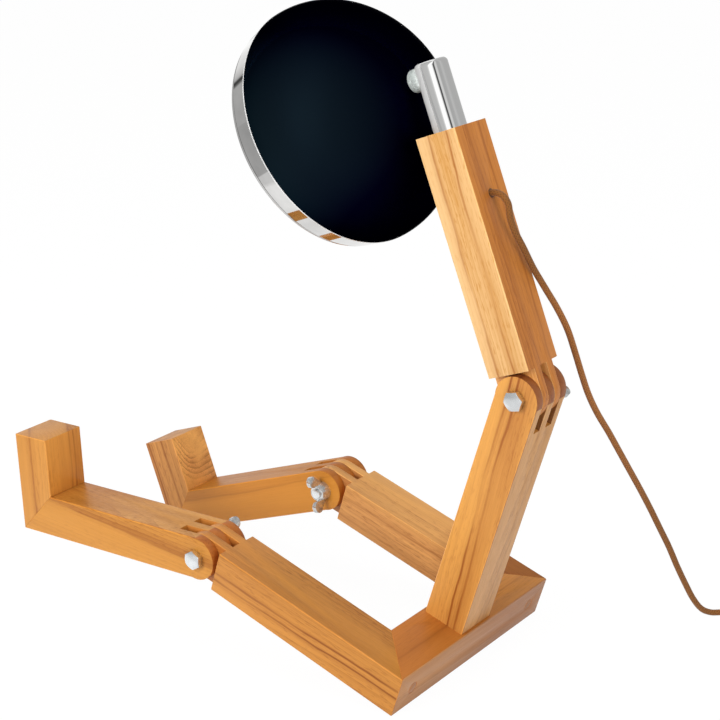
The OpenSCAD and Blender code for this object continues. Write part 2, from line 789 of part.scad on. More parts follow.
// Cord switch: two halves and a rocker on its own pivot pins
rocker_z = switch_base_h + switch_cover_h - 3.5;
pivot_r = 1.5;
pivot_len = rocker_w + 6;
pocket_w = rocker_w + 2 * rocker_gap;
pocket_len = rocker_len + 2 * rocker_gap;
switch_round = 5;
sleeve_end_r = cord_d / 2 + 1;
module sleeve_place(s) {
    translate([0, s * switch_len / 2, entry_z]) rotate([-90 * s, 0, 0]) children();
}
module switch_outline() {
    eased_rect(switch_w, switch_len, switch_round);
}
module switch_base() {
    color([0.2, 0.15, 0.12]) translate(switch_at) difference() {
        union() {
            linear_extrude(switch_base_h) switch_outline();
            for (s = [-1, 1]) sleeve_place(s) cylinder(r1 = entry_z - 1.5, r2 = sleeve_end_r, h = sleeve_len);
        }
        translate([-pocket_w / 2, -pocket_len / 2, 2]) cube([pocket_w, pocket_len, switch_base_h]);
        for (s = [-1, 1]) sleeve_place(s) cylinder(r = cord_d / 2 + glue_gap, h = sleeve_len + cut);
    }
}
module switch_cover() {
    color([0.2, 0.15, 0.12]) translate(switch_at) difference() {
        translate([0, 0, switch_base_h]) linear_extrude(switch_cover_h) switch_outline();
        translate([-pocket_w / 2, -pocket_len / 2, switch_base_h - cut])
            cube([pocket_w, pocket_len, switch_cover_h + 2 * cut]);
        translate([0, 0, rocker_z]) rotate([0, 90, 0])
            cylinder(r = pivot_r + run_fit, h = pivot_len + 2 * side_gap, center = true);
    }
}
module switch_rocker() {
    half = rocker_len / 2;
    color([0.25, 0.2, 0.16]) translate(switch_at + [0, 0, rocker_z]) rotate([rocker_tilt, 0, 0]) {
        rotate([90, 0, 90]) linear_extrude(rocker_w, center = true)
            polygon([[-half, 5], [0, 4], [half, 5], [half - 0.5, 0], [half / 2, -4], [-half / 2, -4], [0.5 - half, 0]]);
        rotate([0, 90, 0]) cylinder(r = pivot_r, h = pivot_len, center = true);
    }
}

// Plug with two round pins
module plug_body() {
    color([0.2, 0.15, 0.12]) translate(plug_at) rotate([0, 90, 0]) difference() {
        rotate_extrude() polygon([
            [0, 0], [sleeve_end_r, 0], [sleeve_end_r + 2, sleeve_len], [plug_d / 2 - 2, sleeve_len + 8],
            [plug_d / 2, sleeve_len + 13], [plug_d / 2, plug_len], [0, plug_len]
        ]);
        plug_pin_pair(glue_gap);
    }
}
module plug_pin_pair(gap) {
    root = 8;
    for (s = [-1, 1])
        translate([0, s * pin_pitch / 2, plug_len - root]) cylinder(d = pin_d + 2 * gap, h = root + pin_len);
}
module plug_pins() {
    color("gold") translate(plug_at) rotate([0, 90, 0]) plug_pin_pair(0);
}

seat_bar();
left_thigh();
right_thigh();
spine();
corner_plugs();
corner_screws();
spine_dowels();
waist_bolt();
waist_wing_nut();
left_shin();
left_foot();
left_foot_dowels();
left_knee_bolt();
left_knee_wing_nut();
right_shin();
right_foot();
right_foot_dowels();
right_knee_bolt();
right_knee_wing_nut();
torso();
cable_grommet();
inner_flex();
neck_tube();
ball_cup();
ball_stud();
stud_nut();
head_shell();
rim_ring();
glass_seal();
front_glass();
reflector();
lamp_holder();
bulb();
cord_hang();
cord_floor();
cord_coil();
switch_base();
switch_cover();
switch_rocker();
plug_body();
plug_pins();
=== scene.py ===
import json
import math
import bpy
from mathutils import Euler, Matrix, Vector

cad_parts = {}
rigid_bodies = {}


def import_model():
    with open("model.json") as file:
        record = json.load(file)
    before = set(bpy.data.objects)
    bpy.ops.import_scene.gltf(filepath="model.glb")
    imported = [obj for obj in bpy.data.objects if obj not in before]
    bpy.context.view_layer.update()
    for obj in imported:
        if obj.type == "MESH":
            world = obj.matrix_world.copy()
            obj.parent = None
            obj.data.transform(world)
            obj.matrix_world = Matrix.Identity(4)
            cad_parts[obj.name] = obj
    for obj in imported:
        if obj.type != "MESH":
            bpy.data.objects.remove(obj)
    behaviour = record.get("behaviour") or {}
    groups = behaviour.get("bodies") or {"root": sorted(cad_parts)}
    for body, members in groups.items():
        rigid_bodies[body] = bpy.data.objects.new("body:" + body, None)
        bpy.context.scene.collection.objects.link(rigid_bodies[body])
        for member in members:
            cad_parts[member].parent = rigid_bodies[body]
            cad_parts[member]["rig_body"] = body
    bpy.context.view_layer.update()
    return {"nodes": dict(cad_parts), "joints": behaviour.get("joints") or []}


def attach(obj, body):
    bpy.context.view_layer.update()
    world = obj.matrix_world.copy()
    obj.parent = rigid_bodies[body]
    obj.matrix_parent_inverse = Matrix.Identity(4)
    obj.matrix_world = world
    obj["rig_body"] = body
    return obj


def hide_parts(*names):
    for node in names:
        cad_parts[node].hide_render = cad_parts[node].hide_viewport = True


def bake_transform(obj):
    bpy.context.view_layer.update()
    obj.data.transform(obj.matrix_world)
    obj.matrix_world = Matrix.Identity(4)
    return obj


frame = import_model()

nodes = frame["nodes"]
joints = {j["name"]: j for j in frame["joints"]}
print("frame loaded:", len(nodes), "nodes")


# small helpers for working in object and edit mode

def dropSelection():
    if bpy.context.object and bpy.context.object.mode != "OBJECT":
        bpy.ops.object.mode_set(mode="OBJECT")
    for thing in bpy.context.view_layer.objects:
        thing.select_set(False)


def pick(thing):
    dropSelection()
    thing.hide_viewport = False
    thing.select_set(True)
    bpy.context.view_layer.objects.active = thing


def editAll(thing):
    pick(thing)
    bpy.ops.object.mode_set(mode="EDIT")
    bpy.ops.mesh.select_mode(type="VERT")
    bpy.ops.mesh.select_all(action="SELECT")


def leaveEdit():
    bpy.ops.object.mode_set(mode="OBJECT")


def applyModifier(thing, kind, **settings):
    pick(thing)
    made = thing.modifiers.new(kind.title(), kind)
    for key, value in settings.items():
        setattr(made, key, value)
    bpy.ops.object.modifier_apply(modifier=made.name)


def smoothByAngle(thing, degrees):
    pick(thing)
    bpy.ops.object.shade_smooth_by_angle(angle=math.radians(degrees))


# camera at the photograph's place

cameraPlace = {
    "at": (1.2668, 1.0271, 0.8112),
    "right": (-0.592805, 0.804883, -0.027305),
    "up": (-0.270476, -0.167045, 0.948124),
    "back": (0.758568, 0.569438, 0.316727),
    "lens": 88.74,
    "sensor": 36,
    "farthest": 50,
}

def makeCamera(place):
    lens = bpy.data.cameras.new("photoCamera")
    lens.lens = place["lens"]
    lens.sensor_width = place["sensor"]
    lens.clip_end = place["farthest"]
    camera = bpy.data.objects.new("photoCamera", lens)
    bpy.context.scene.collection.objects.link(camera)
    turn = Matrix((place["right"], place["up"], place["back"])).transposed()
    camera.matrix_world = Matrix.Translation(place["at"]) @ turn.to_4x4()
    bpy.context.scene.camera = camera

makeCamera(cameraPlace)
print("camera set")


# shader helpers: give() links a socket, or sets a plain value

def addNode(tree, kind, **settings):
    made = tree.nodes.new(kind)
    for key, value in settings.items():
        setattr(made, key, value)
    return made


def give(node, values):
    for label, value in values.items():
        if isinstance(value, bpy.types.NodeSocket):
            node.id_data.links.new(value, node.inputs[label])
        else:
            node.inputs[label].default_value = value
    return node


def mathNode(tree, operation, *values):
    made = addNode(tree, "ShaderNodeMath", operation=operation)
    return give(made, dict(enumerate(values))).outputs[0]


def multiply(tree, first, second):
    return mathNode(tree, "MULTIPLY", first, second)


def multiplyAdd(tree, first, second, added):
    return mathNode(tree, "MULTIPLY_ADD", first, second, added)


def vectorNode(tree, operation, *values):
    made = addNode(tree, "ShaderNodeVectorMath", operation=operation)
    return give(made, dict(enumerate(values))).outputs


def split(tree, vector):
    return give(addNode(tree, "ShaderNodeSeparateXYZ"), {0: vector}).outputs


def noise(tree, vector, scale, detail=2.0, rough=0.5):
    made = addNode(tree, "ShaderNodeTexNoise")
    give(made, {"Vector": vector, "Scale": scale, "Detail": detail, "Roughness": rough})
    return made.outputs["Fac"]


def stretchedNoise(tree, vector, scale, detail=2.0, rough=0.5, shift=(0, 0, 0)):
    made = addNode(tree, "ShaderNodeMapping")
    give(made, {"Vector": vector, "Scale": scale, "Location": shift})
    return noise(tree, made.outputs["Vector"], 1.0, detail, rough)


def spread(tree, value, low, high, outLow=0.0, outHigh=1.0):
    made = addNode(tree, "ShaderNodeMapRange")
    give(made, {"Value": value, "From Min": low, "From Max": high, "To Min": outLow, "To Max": outHigh})
    return made.outputs["Result"]


def mixColour(tree, share, first, second, blend="MIX"):
    made = addNode(tree, "ShaderNodeMix", data_type="RGBA", blend_type=blend)
    spot = {socket.identifier: i for i, socket in enumerate(made.inputs)}
    give(made, {spot["Factor_Float"]: share, spot["A_Color"]: first, spot["B_Color"]: second})
    return next(socket for socket in made.outputs if socket.identifier == "Result_Color")


def mixShader(tree, share, first, second):
    made = addNode(tree, "ShaderNodeMixShader")
    return give(made, {0: share, 1: first.outputs[0], 2: second.outputs[0]})


def newGroup(name, inputs, outputs):
    tree = bpy.data.node_groups.new(name, "ShaderNodeTree")
    for way, sockets in (("INPUT", inputs), ("OUTPUT", outputs)):
        for label, kind in sockets.items():
            tree.interface.new_socket(label, in_out=way, socket_type="NodeSocket" + kind)
    return tree, addNode(tree, "NodeGroupInput").outputs, addNode(tree, "NodeGroupOutput")


def placeGroup(tree, group, **values):
    return give(addNode(tree, "ShaderNodeGroup", node_tree=group), values)


def newFinish(name):
    finish = bpy.data.materials.new(name)
    finish.use_nodes = True
    tree = finish.node_tree
    return finish, tree, tree.nodes["Principled BSDF"]


def addBump(tree, shader, height, strength, distance):
    made = addNode(tree, "ShaderNodeBump")
    give(made, {"Height": height, "Strength": strength, "Distance": distance})
    give(shader, {"Normal": made.outputs["Normal"]})


def objectPlace(tree):
    return addNode(tree, "ShaderNodeTexCoord").outputs["Object"]


# oiled hardwood: growth rings, broad bands, dark streaks and pores
# the grain runs along Z of the vector it is given, and most of a noise lies within noiseSpan

noiseSpan = (0.3, 0.7)
grainShape = {
    "drift": (16, 16, 2.6), "bend": (0.022, 0.018, 0), "ringScale": 74, "wobble": 1.2, "wobbleDetail": 3,
    "wobbleScale": 0.6, "late": 2.4, "figure": (30, 30, 2.4), "figureSpan": (0.4, 0.62),
    "band": (46, 46, 3.2), "bandSpan": (0.36, 0.66), "bandTone": 0.42,
    "fibre": (1300, 1300, 16), "fibreRough": 0.6, "fibreTone": 0.24, "fibreRelief": 0.4,
    "pores": (760, 760, 105), "poreSpan": (0.56, 0.68), "poreField": (0.42, 0.6, 0.25, 1.0),
    "poreTone": 0.42, "sway": (24, 24, 9), "swayFrom": (2, 5, 4), "swayDetail": 3, "swing": 0.012,
    "zoneEdge": (-0.001, 0.0015), "quiet": 0.65, "deeper": 0.22,
    "patch": (40, 40, 7), "patchFrom": (3, 7, 1), "patchSpan": (0.34, 0.6, 0.25, 1.0),
    "veinCore": (0.0002, 0.0016), "coreTone": 0.75, "veinHalo": (0.001, 0.006), "haloTone": 0.3,
    "veinTint": (0.68, 0.5, 0.38, 1), "rough": (0.34, 0.48), "gloss": 0.3, "relief": (0.25, 0.0003),
}


def makeTimberGroup(grain):
    tree, given, out = newGroup(
        "timberGrain",
        {"Vector": "Vector", "Pale": "Color", "Deep": "Color", "Streak": "Float", "Rings": "Float",
         "VeinA": "Float", "VeinB": "Float", "Zone": "Float"},
        {"Color": "Color", "Roughness": "Float", "Height": "Float"},
    )
    place = given["Vector"]
    drift = stretchedNoise(tree, place, grain["drift"])
    bent = vectorNode(tree, "MULTIPLY_ADD", drift, grain["bend"], place)["Vector"]
    rings = addNode(tree, "ShaderNodeTexWave", wave_type="RINGS", rings_direction="Z", wave_profile="SAW")
    give(rings, {"Vector": bent, "Scale": grain["ringScale"], "Distortion": grain["wobble"],
                 "Detail": grain["wobbleDetail"], "Detail Scale": grain["wobbleScale"]})
    figure = stretchedNoise(tree, bent, grain["figure"], 1.0)
    late = mathNode(tree, "POWER", rings.outputs["Fac"], grain["late"])
    late = multiply(tree, late, spread(tree, figure, *grain["figureSpan"]))
    band = spread(tree, stretchedNoise(tree, bent, grain["band"]), *grain["bandSpan"])
    fibre = stretchedNoise(tree, place, grain["fibre"], rough=grain["fibreRough"])
    pores = spread(tree, stretchedNoise(tree, place, grain["pores"], 1.0), *grain["poreSpan"])
    pores = multiply(tree, pores, spread(tree, figure, *grain["poreField"]))
    ringTone = multiply(tree, late, given["Rings"])
    tone = multiplyAdd(tree, band, grain["bandTone"], ringTone)
    tone = multiplyAdd(tree, spread(tree, fibre, *noiseSpan), grain["fibreTone"], tone)
    tone = multiplyAdd(tree, pores, grain["poreTone"], tone)

    # the figured side of vein A is deeper, and the other side is quiet
    sway = stretchedNoise(tree, place, grain["sway"], grain["swayDetail"], shift=grain["swayFrom"])
    across = multiplyAdd(tree, sway, grain["swing"], split(tree, place)["Y"])
    offA = mathNode(tree, "SUBTRACT", across, given["VeinA"])
    sided = multiply(tree, offA, mathNode(tree, "SIGN", given["Zone"]))
    figured = spread(tree, sided, *grain["zoneEdge"])
    zone = mathNode(tree, "ABSOLUTE", given["Zone"])
    hush = multiplyAdd(tree, figured, grain["quiet"], -grain["quiet"])
    quiet = multiply(tree, zone, hush)
    tone = multiply(tree, tone, mathNode(tree, "ADD", quiet, 1.0))
    tone = multiplyAdd(tree, multiply(tree, zone, figured), grain["deeper"], tone)
    tone = mathNode(tree, "MINIMUM", tone, 1.0)

    # two dark veins, each a fine core with a soft halo
    offB = mathNode(tree, "SUBTRACT", across, given["VeinB"])
    gap = mathNode(tree, "MINIMUM", mathNode(tree, "ABSOLUTE", offA), mathNode(tree, "ABSOLUTE", offB))
    where = stretchedNoise(tree, place, grain["patch"], shift=grain["patchFrom"])
    core = spread(tree, gap, *grain["veinCore"], 1.0, 0.0)
    halo = spread(tree, gap, *grain["veinHalo"], grain["haloTone"], 0.0)
    vein = multiplyAdd(tree, core, grain["coreTone"], halo)
    vein = multiply(tree, vein, spread(tree, where, *grain["patchSpan"]))
    vein = multiply(tree, vein, given["Streak"])
    body = mixColour(tree, tone, given["Pale"], given["Deep"])
    dark = mixColour(tree, 1.0, given["Deep"], grain["veinTint"], "MULTIPLY")
    fine = multiply(tree, fibre, grain["fibreRelief"])
    give(out, {"Color": mixColour(tree, vein, body, dark),
               "Roughness": spread(tree, fibre, *noiseSpan, *grain["rough"]),
               "Height": multiplyAdd(tree, pores, -1.0, fine)})
    return tree


# faint smears and rubbing, shared by the metals, enamel and mouldings

handlingLook = {"detail": 4, "rough": 0.6, "span": (0.35, 0.7), "rub": 0.8}


def makeHandlingGroup(look):
    tree, given, out = newGroup(
        "handlingMarks",
        {"Vector": "Vector", "Scale": "Float", "Low": "Float", "High": "Float"},
        {"Roughness": "Float", "Mask": "Float"},
    )
    marks = noise(tree, given["Vector"], given["Scale"], look["detail"], look["rough"])
    mask = spread(tree, marks, *look["span"])
    span = mathNode(tree, "SUBTRACT", given["High"], given["Low"])
    give(out, {"Roughness": multiplyAdd(tree, mask, span, given["Low"]), "Mask": mask})
    return tree


timberGroup = makeTimberGroup(grainShape)
handlingGroup = makeHandlingGroup(handlingLook)


def timberFinish(name, centre, look, tones):
    finish, tree, shader = newFinish(name)
    turn = Euler([math.radians(a) for a in look["turn"]])
    start = Vector((*look["pith"], look["seed"])) - turn.to_matrix() @ centre
    place = addNode(tree, "ShaderNodeMapping")
    give(place, {"Vector": objectPlace(tree), "Rotation": turn, "Location": start})
    pale, deep = tones
    veinA, veinB = (look["pith"][1] + grainShape["swing"] / 2 + at for at in look["veins"])
    grain = placeGroup(tree, timberGroup, Vector=place.outputs["Vector"], Pale=(*pale, 1), Deep=(*deep, 1),
                       Streak=look["streak"], Rings=look["rings"], VeinA=veinA, VeinB=veinB,
                       Zone=look.get("zone", 0.0)).outputs
    colour = grain["Color"]
    # painted light and shade: the colour is made darker or paler along one axis of the bar
    if "fade" in look:
        fade = look["fade"]
        share = spread(tree, split(tree, objectPlace(tree))[fade["axis"]], *fade["span"])
        colour = mixColour(tree, share, colour, (*fade["tint"], 1), "MULTIPLY")
    give(shader, {"Base Color": colour, "Roughness": grain["Roughness"],
                  "Specular IOR Level": grainShape["gloss"]})
    addBump(tree, shader, grain["Height"], *grainShape["relief"])
    return finish


def handled(tree, low, high, scale):
    place = objectPlace(tree)
    return placeGroup(tree, handlingGroup, Vector=place, Scale=scale, Low=low, High=high).outputs


def plainFinish(name, colour, metallic, low, high, scale, tint=None):
    finish, tree, shader = newFinish(name)
    marks = handled(tree, low, high, scale)
    second = tint or tuple(c * handlingLook["rub"] for c in colour)
    rubbed = mixColour(tree, marks["Mask"], (*colour, 1), (*second, 1))
    give(shader, {"Base Color": rubbed, "Metallic": metallic, "Roughness": marks["Roughness"]})
    return finish


# colour, share of metal, roughness from and to, scale of the marks

finishes = {
    "rim": plainFinish("rimChrome", (0.7, 0.695, 0.685), 1.0, 0.02, 0.05, 25),
    "rimGroove": plainFinish("rimGroovePaintedShade", (0.09, 0.09, 0.088), 0.6, 0.4, 0.6, 60),
    "rimBead": plainFinish("rimBeadPaintedHighlight", (0.95, 0.95, 0.945), 0.5, 0.3, 0.4, 60),
    "cup": plainFinish("castAlloy", (0.9, 0.96, 0.93), 0.45, 0.22, 0.34, 140, tint=(0.62, 0.68, 0.65)),
    "zinc": plainFinish("brightZinc", (0.84, 0.86, 0.87), 1.0, 0.18, 0.3, 120, tint=(0.78, 0.8, 0.81)),
    "cast": plainFinish("castZinc", (0.82, 0.83, 0.83), 0.8, 0.16, 0.26, 160, tint=(0.45, 0.46, 0.45)),
    "reflector": plainFinish("spunReflector", (0.9, 0.9, 0.9), 1.0, 0.12, 0.22, 80),
    "rubber": plainFinish("sealRubber", (0.02, 0.02, 0.02), 0.0, 0.55, 0.75, 150),
    "brownRubber": plainFinish("grommetRubber", (0.16, 0.07, 0.03), 0.0, 0.5, 0.7, 150),
    "moulding": plainFinish("brownMoulding", (0.035, 0.02, 0.012), 0.0, 0.3, 0.45, 200),
    "holder": plainFinish("holderMoulding", (0.03, 0.03, 0.03), 0.0, 0.4, 0.6, 200),
    "flex": plainFinish("flexSheath", (0.12, 0.12, 0.12), 0.0, 0.4, 0.55, 200),
    "brass": plainFinish("pinBrass", (0.83, 0.6, 0.27), 1.0, 0.15, 0.3, 200),
}


# the enamel has a painted sheen: its base colour is paler in a patch on the dome, so it is deepest at its
# edges

paintedSheenEnamelLook = {
    "at": (0.0123, 0.0432, 0.4972), "reach": (0.094, 0.106), "sheen": (0.0094, 0.02, 0.029),
    "deep": (0.0008, 0.0007, 0.0095), "marks": (0.44, 0.52, 12),
}


def paintedSheenEnamelFinish(look):
    finish, tree, shader = newFinish("blackEnamelPaintedSheen")
    gap = vectorNode(tree, "DISTANCE", objectPlace(tree), look["at"])["Value"]
    share = spread(tree, gap, *look["reach"], 1.0, 0.0)
    colour = mixColour(tree, share, (*look["deep"], 1), (*look["sheen"], 1))
    give(shader, {"Base Color": colour, "Roughness": handled(tree, *look["marks"])["Roughness"],
                  "Metallic": 1.0, "Specular Tint": (0, 0, 0, 1)})
    return finish


def glassFinish(name, colour, low, high, clear, grain):
    finish, tree, shader = newFinish(name)
    grit = noise(tree, objectPlace(tree), grain)
    give(shader, {"Base Color": (*colour, 1), "Roughness": spread(tree, grit, *noiseSpan, low, high),
                  "Transmission Weight": clear, "IOR": 1.5})
    return finish


finishes["enamel"] = paintedSheenEnamelFinish(paintedSheenEnamelLook)
finishes["glass"] = glassFinish("frontGlass", (0.97, 0.98, 0.98), 0.0, 0.03, 0.97, 60)
finishes["opal"] = glassFinish("opalGlass", (0.97, 0.95, 0.9), 0.55, 0.68, 0.0, 400)
print("finishes made")


# the cord: one woven flex from the torso to its plug, through the cord switch

cordShape = {
    "diameter": 0.006,
    "sides": 14,
    "step": 0.0022,
    "exitDepth": 0.0215,
    "exitHeight": 0.178,
    "bend": 0.0135,
    "bendArc": (0, 111, 22),
    "hang": [
        (-1, 241.6, 439), (-4.5, 244.2, 427), (-11, 248.5, 412),
        (-20, 253, 392.5), (-31.5, 258.5, 372), (-43.5, 264, 351), (-53, 269, 330), (-61, 272, 308),
        (-68, 275, 286), (-76, 278, 264), (-86, 282, 243), (-98, 288, 221), (-110, 293, 199),
        (-122, 298, 177), (-134, 303, 155), (-146, 308, 132), (-157, 313, 109), (-168, 318, 86),
        (-177, 323, 63), (-186, 328, 42), (-194, 333, 24), (-203, 338, 10.5), (-212, 344, 4.2),
    ],
    "floor": [(-220, 352, 3), (-226, 362, 3), (-230, 373, 3.2), (-230, 386, 5.2)],
    "switchAt": (-230, 455, 0),
    "switchLength": 60,
    "sleeve": 20,
    "easeDown": 18,
    "coilGap": 30,
    "plugLead": 36,
    "entryHeight": 7,
    "coilPitch": 6.6,
    "coilInner": 25,
    "lowTurns": 2.5,
    "climbTurns": 0.5,
    "climbDip": 1.5,
    "topTurns": 2.25,
    "coilSteps": 24,
    "plugHeight": 14,
    "inPlug": 4,
    "blendFrom": 6,
    "maxAngle": 60,
}


def coilCentre(shape):
    outer = shape["coilInner"] + shape["coilPitch"] * shape["lowTurns"]
    sx, sy, _ = shape["switchAt"]
    return sx + outer, sy + shape["switchLength"] / 2 + shape["sleeve"] + shape["coilGap"]


def coilRoute(shape):
    pitch, inner, low = shape["coilPitch"], shape["coilInner"], shape["lowTurns"]
    climb, top = shape["climbTurns"], shape["topTurns"]
    outer = inner + pitch * low
    cx, cy = coilCentre(shape)
    width = shape["diameter"] * 1000
    points = []
    count = int((low + climb + top) * shape["coilSteps"])
    for i in range(count + 1):
        n = i / shape["coilSteps"]
        share = min(max((n - low) / climb, 0), 1)
        if n < low:
            r = outer - pitch * n
        elif n < low + climb:
            r = inner - shape["climbDip"] * math.sin(math.pi * share)
        else:
            r = inner + pitch * (n - low - climb)
        rise = width / 2 + pitch * share * share * (3 - 2 * share)
        a = 2 * math.pi * n
        points.append((cx - r * math.cos(a), cy + r * math.sin(a), rise))
    return points


def cordExit(shape):
    upWay = Vector(joints["neck_swivel"]["axis"]).normalized()
    backWay = Vector((0, upWay.z, -upWay.y))
    exitAt = Vector(joints["waist"]["pos_m"]) + shape["exitDepth"] * backWay + shape["exitHeight"] * upWay
    return exitAt, backWay, upWay


def cordRoute(shape):
    sx, sy, _ = shape["switchAt"]
    half, entry, bend = shape["switchLength"] / 2, shape["entryHeight"], shape["bend"]
    reach = half + shape["sleeve"]
    width = shape["diameter"] * 1000
    exitAt, backWay, upWay = cordExit(shape)
    points = [exitAt - shape["diameter"] * backWay]
    for degrees in range(*shape["bendArc"]):
        a = math.radians(degrees)
        points.append(exitAt + bend * ((math.cos(a) - 1) * upWay + math.sin(a) * backWay))
    coil = coilRoute(shape)
    ex, ey, ez = coil[-1]
    lead, rest = shape["plugLead"], shape["plugHeight"]
    route = shape["hang"] + shape["floor"]
    route += [(sx, sy + y, entry) for y in (-reach - width, -reach, -half, 0, half, reach, reach + width)]
    route += [(sx, sy + reach + shape["easeDown"], (entry + width / 2) / 2)] + coil
    for t in (1 / 3, 2 / 3, 1):
        rise = (rest - ez) * t * t * (3 - 2 * t)
        route.append((ex + (lead - width) * t, ey, ez + rise))
    route += [(ex + lead, ey, rest), (ex + lead + shape["inPlug"], ey, rest)]
    return points + [Vector(p) / 1000 for p in route]


def smoothRoute(points, step):
    padded = [2 * points[0] - points[1]] + points + [2 * points[-1] - points[-2]]
    dense = []
    for i in range(1, len(padded) - 2):
        a, b, c, d = padded[i - 1:i + 3]
        parts = max(2, round((c - b).length / step))
        for k in range(parts):
            t = k / parts
            dense.append(0.5 * (2 * b + (c - a) * t + (2 * a - 5 * b + 4 * c - d) * t ** 2
                                + (3 * b - a - 3 * c + d) * t ** 3))
    dense.append(points[-1])
    return dense


def makeCordMesh(name, route, radius, sides):
    verts, faces, lengths = [], [], [0.0]
    for a, b in zip(route, route[1:]):
        lengths.append(lengths[-1] + (b - a).length)
    normal = Vector((1, 0, 0))
    for i, p in enumerate(route):
        way = (route[min(i + 1, len(route) - 1)] - route[max(i - 1, 0)]).normalized()
        normal = (normal - normal.dot(way) * way).normalized()
        other = way.cross(normal)
        for k in range(sides):
            a = 2 * math.pi * k / sides
            verts.append(p + radius * (math.cos(a) * normal + math.sin(a) * other))
    for i in range(len(route) - 1):
        for k in range(sides):
            a, b = i * sides + k, i * sides + (k + 1) % sides
            faces.append((a, b, b + sides, a + sides))
    last = (len(route) - 1) * sides
    faces.append(tuple(reversed(range(sides))))
    faces.append(tuple(range(last, last + sides)))
    mesh = bpy.data.meshes.new(name)
    mesh.from_pydata(verts, [], faces)
    layer = mesh.uv_layers.new(name="along")
    for face in mesh.polygons[:-2]:
        i, k = divmod(face.index, sides)
        corners = ((i, k), (i, k + 1), (i + 1, k + 1), (i + 1, k))
        for loop, (row, column) in zip(face.loop_indices, corners):
            layer.data[loop].uv = (lengths[row], column / sides)
    mesh.validate()
    cord = bpy.data.objects.new(name, mesh)
    bpy.context.scene.collection.objects.link(cord)
    return cord, lengths[-1]


# woven sleeve: two sets of yarns that cross round the cord, painted paler along its upper run as painted
# light

cordLook = {
    "pale": (0.25, 0.092, 0.0155), "deep": (0.1, 0.035, 0.0045), "upper": (1.55, 1.52, 1.8),
    "upperPaintedLightRun": ((0.09, 0.14), (0.25, 0.42)), "yarnsAlong": 330, "yarnsRound": 6,
    "hump": (0.3, 1.0, 0.0, 0.8), "lint": 900, "lintShare": 0.35, "rough": 0.75, "sheen": 0.25,
    "sheenRough": 0.4, "relief": (0.6, 0.0003),
}


def wovenFinish(look):
    finish, tree, shader = newFinish("wovenSleeve")
    along, about, _ = split(tree, addNode(tree, "ShaderNodeUVMap", uv_map="along").outputs["UV"])
    run = multiply(tree, along, look["yarnsAlong"])
    turn = multiply(tree, about, look["yarnsRound"])
    humps = []
    for way in ("ADD", "SUBTRACT"):
        yarn = mathNode(tree, "FRACT", mathNode(tree, way, run, turn))
        humps.append(mathNode(tree, "SINE", multiply(tree, yarn, math.pi)))
    weave = mathNode(tree, "MAXIMUM", *humps)
    lint = noise(tree, objectPlace(tree), look["lint"])
    shade = multiplyAdd(tree, lint, look["lintShare"], spread(tree, weave, *look["hump"]))
    colour = mixColour(tree, shade, (*look["deep"], 1), (*look["pale"], 1))
    risen, fallen = look["upperPaintedLightRun"]
    upper = multiply(tree, spread(tree, along, *risen), spread(tree, along, *fallen, 1.0, 0.0))
    colour = mixColour(tree, upper, colour, (*look["upper"], 1), "MULTIPLY")
    give(shader, {"Base Color": colour, "Roughness": look["rough"], "Sheen Weight": look["sheen"],
                  "Sheen Roughness": look["sheenRough"]})
    addBump(tree, shader, weave, *look["relief"])
    return finish


finishes["woven"] = wovenFinish(cordLook)
cordPath = smoothRoute(cordRoute(cordShape), cordShape["step"])
cord, cordLength = makeCordMesh("wovenCord", cordPath, cordShape["diameter"] / 2, cordShape["sides"])
cord.data.materials.append(finishes["woven"])
smoothByAngle(cord, cordShape["maxAngle"])
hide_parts("cord_hang", "cord_floor", "cord_coil")
print("cord made, length", round(cordLength, 3))


# timber: a merged copy of each length, with its arrises broken

# the arrises are painted paler, with fewer streaks, as a painted highlight
timberShape = {
    "arris": 0.0007, "segments": 2, "maxAngle": 50, "flat": 0.0001, "inner": 0.022, "worn": (1.3, 1.3, 1.3),
    "arrisPaintedHighlightStreak": 0.2, "palest": 0.95, "facing": 0.7, "roundTo": 0.25, "sideFrom": 0.9, "arrisTo": 0.93,
}

# slopes of the bars, in degrees

lean = math.degrees(math.atan2(-joints["neck_swivel"]["axis"][1], joints["neck_swivel"]["axis"][2]))
seatTilt = 18.6
leftSlope = -0.8
rightSlope = -19.21
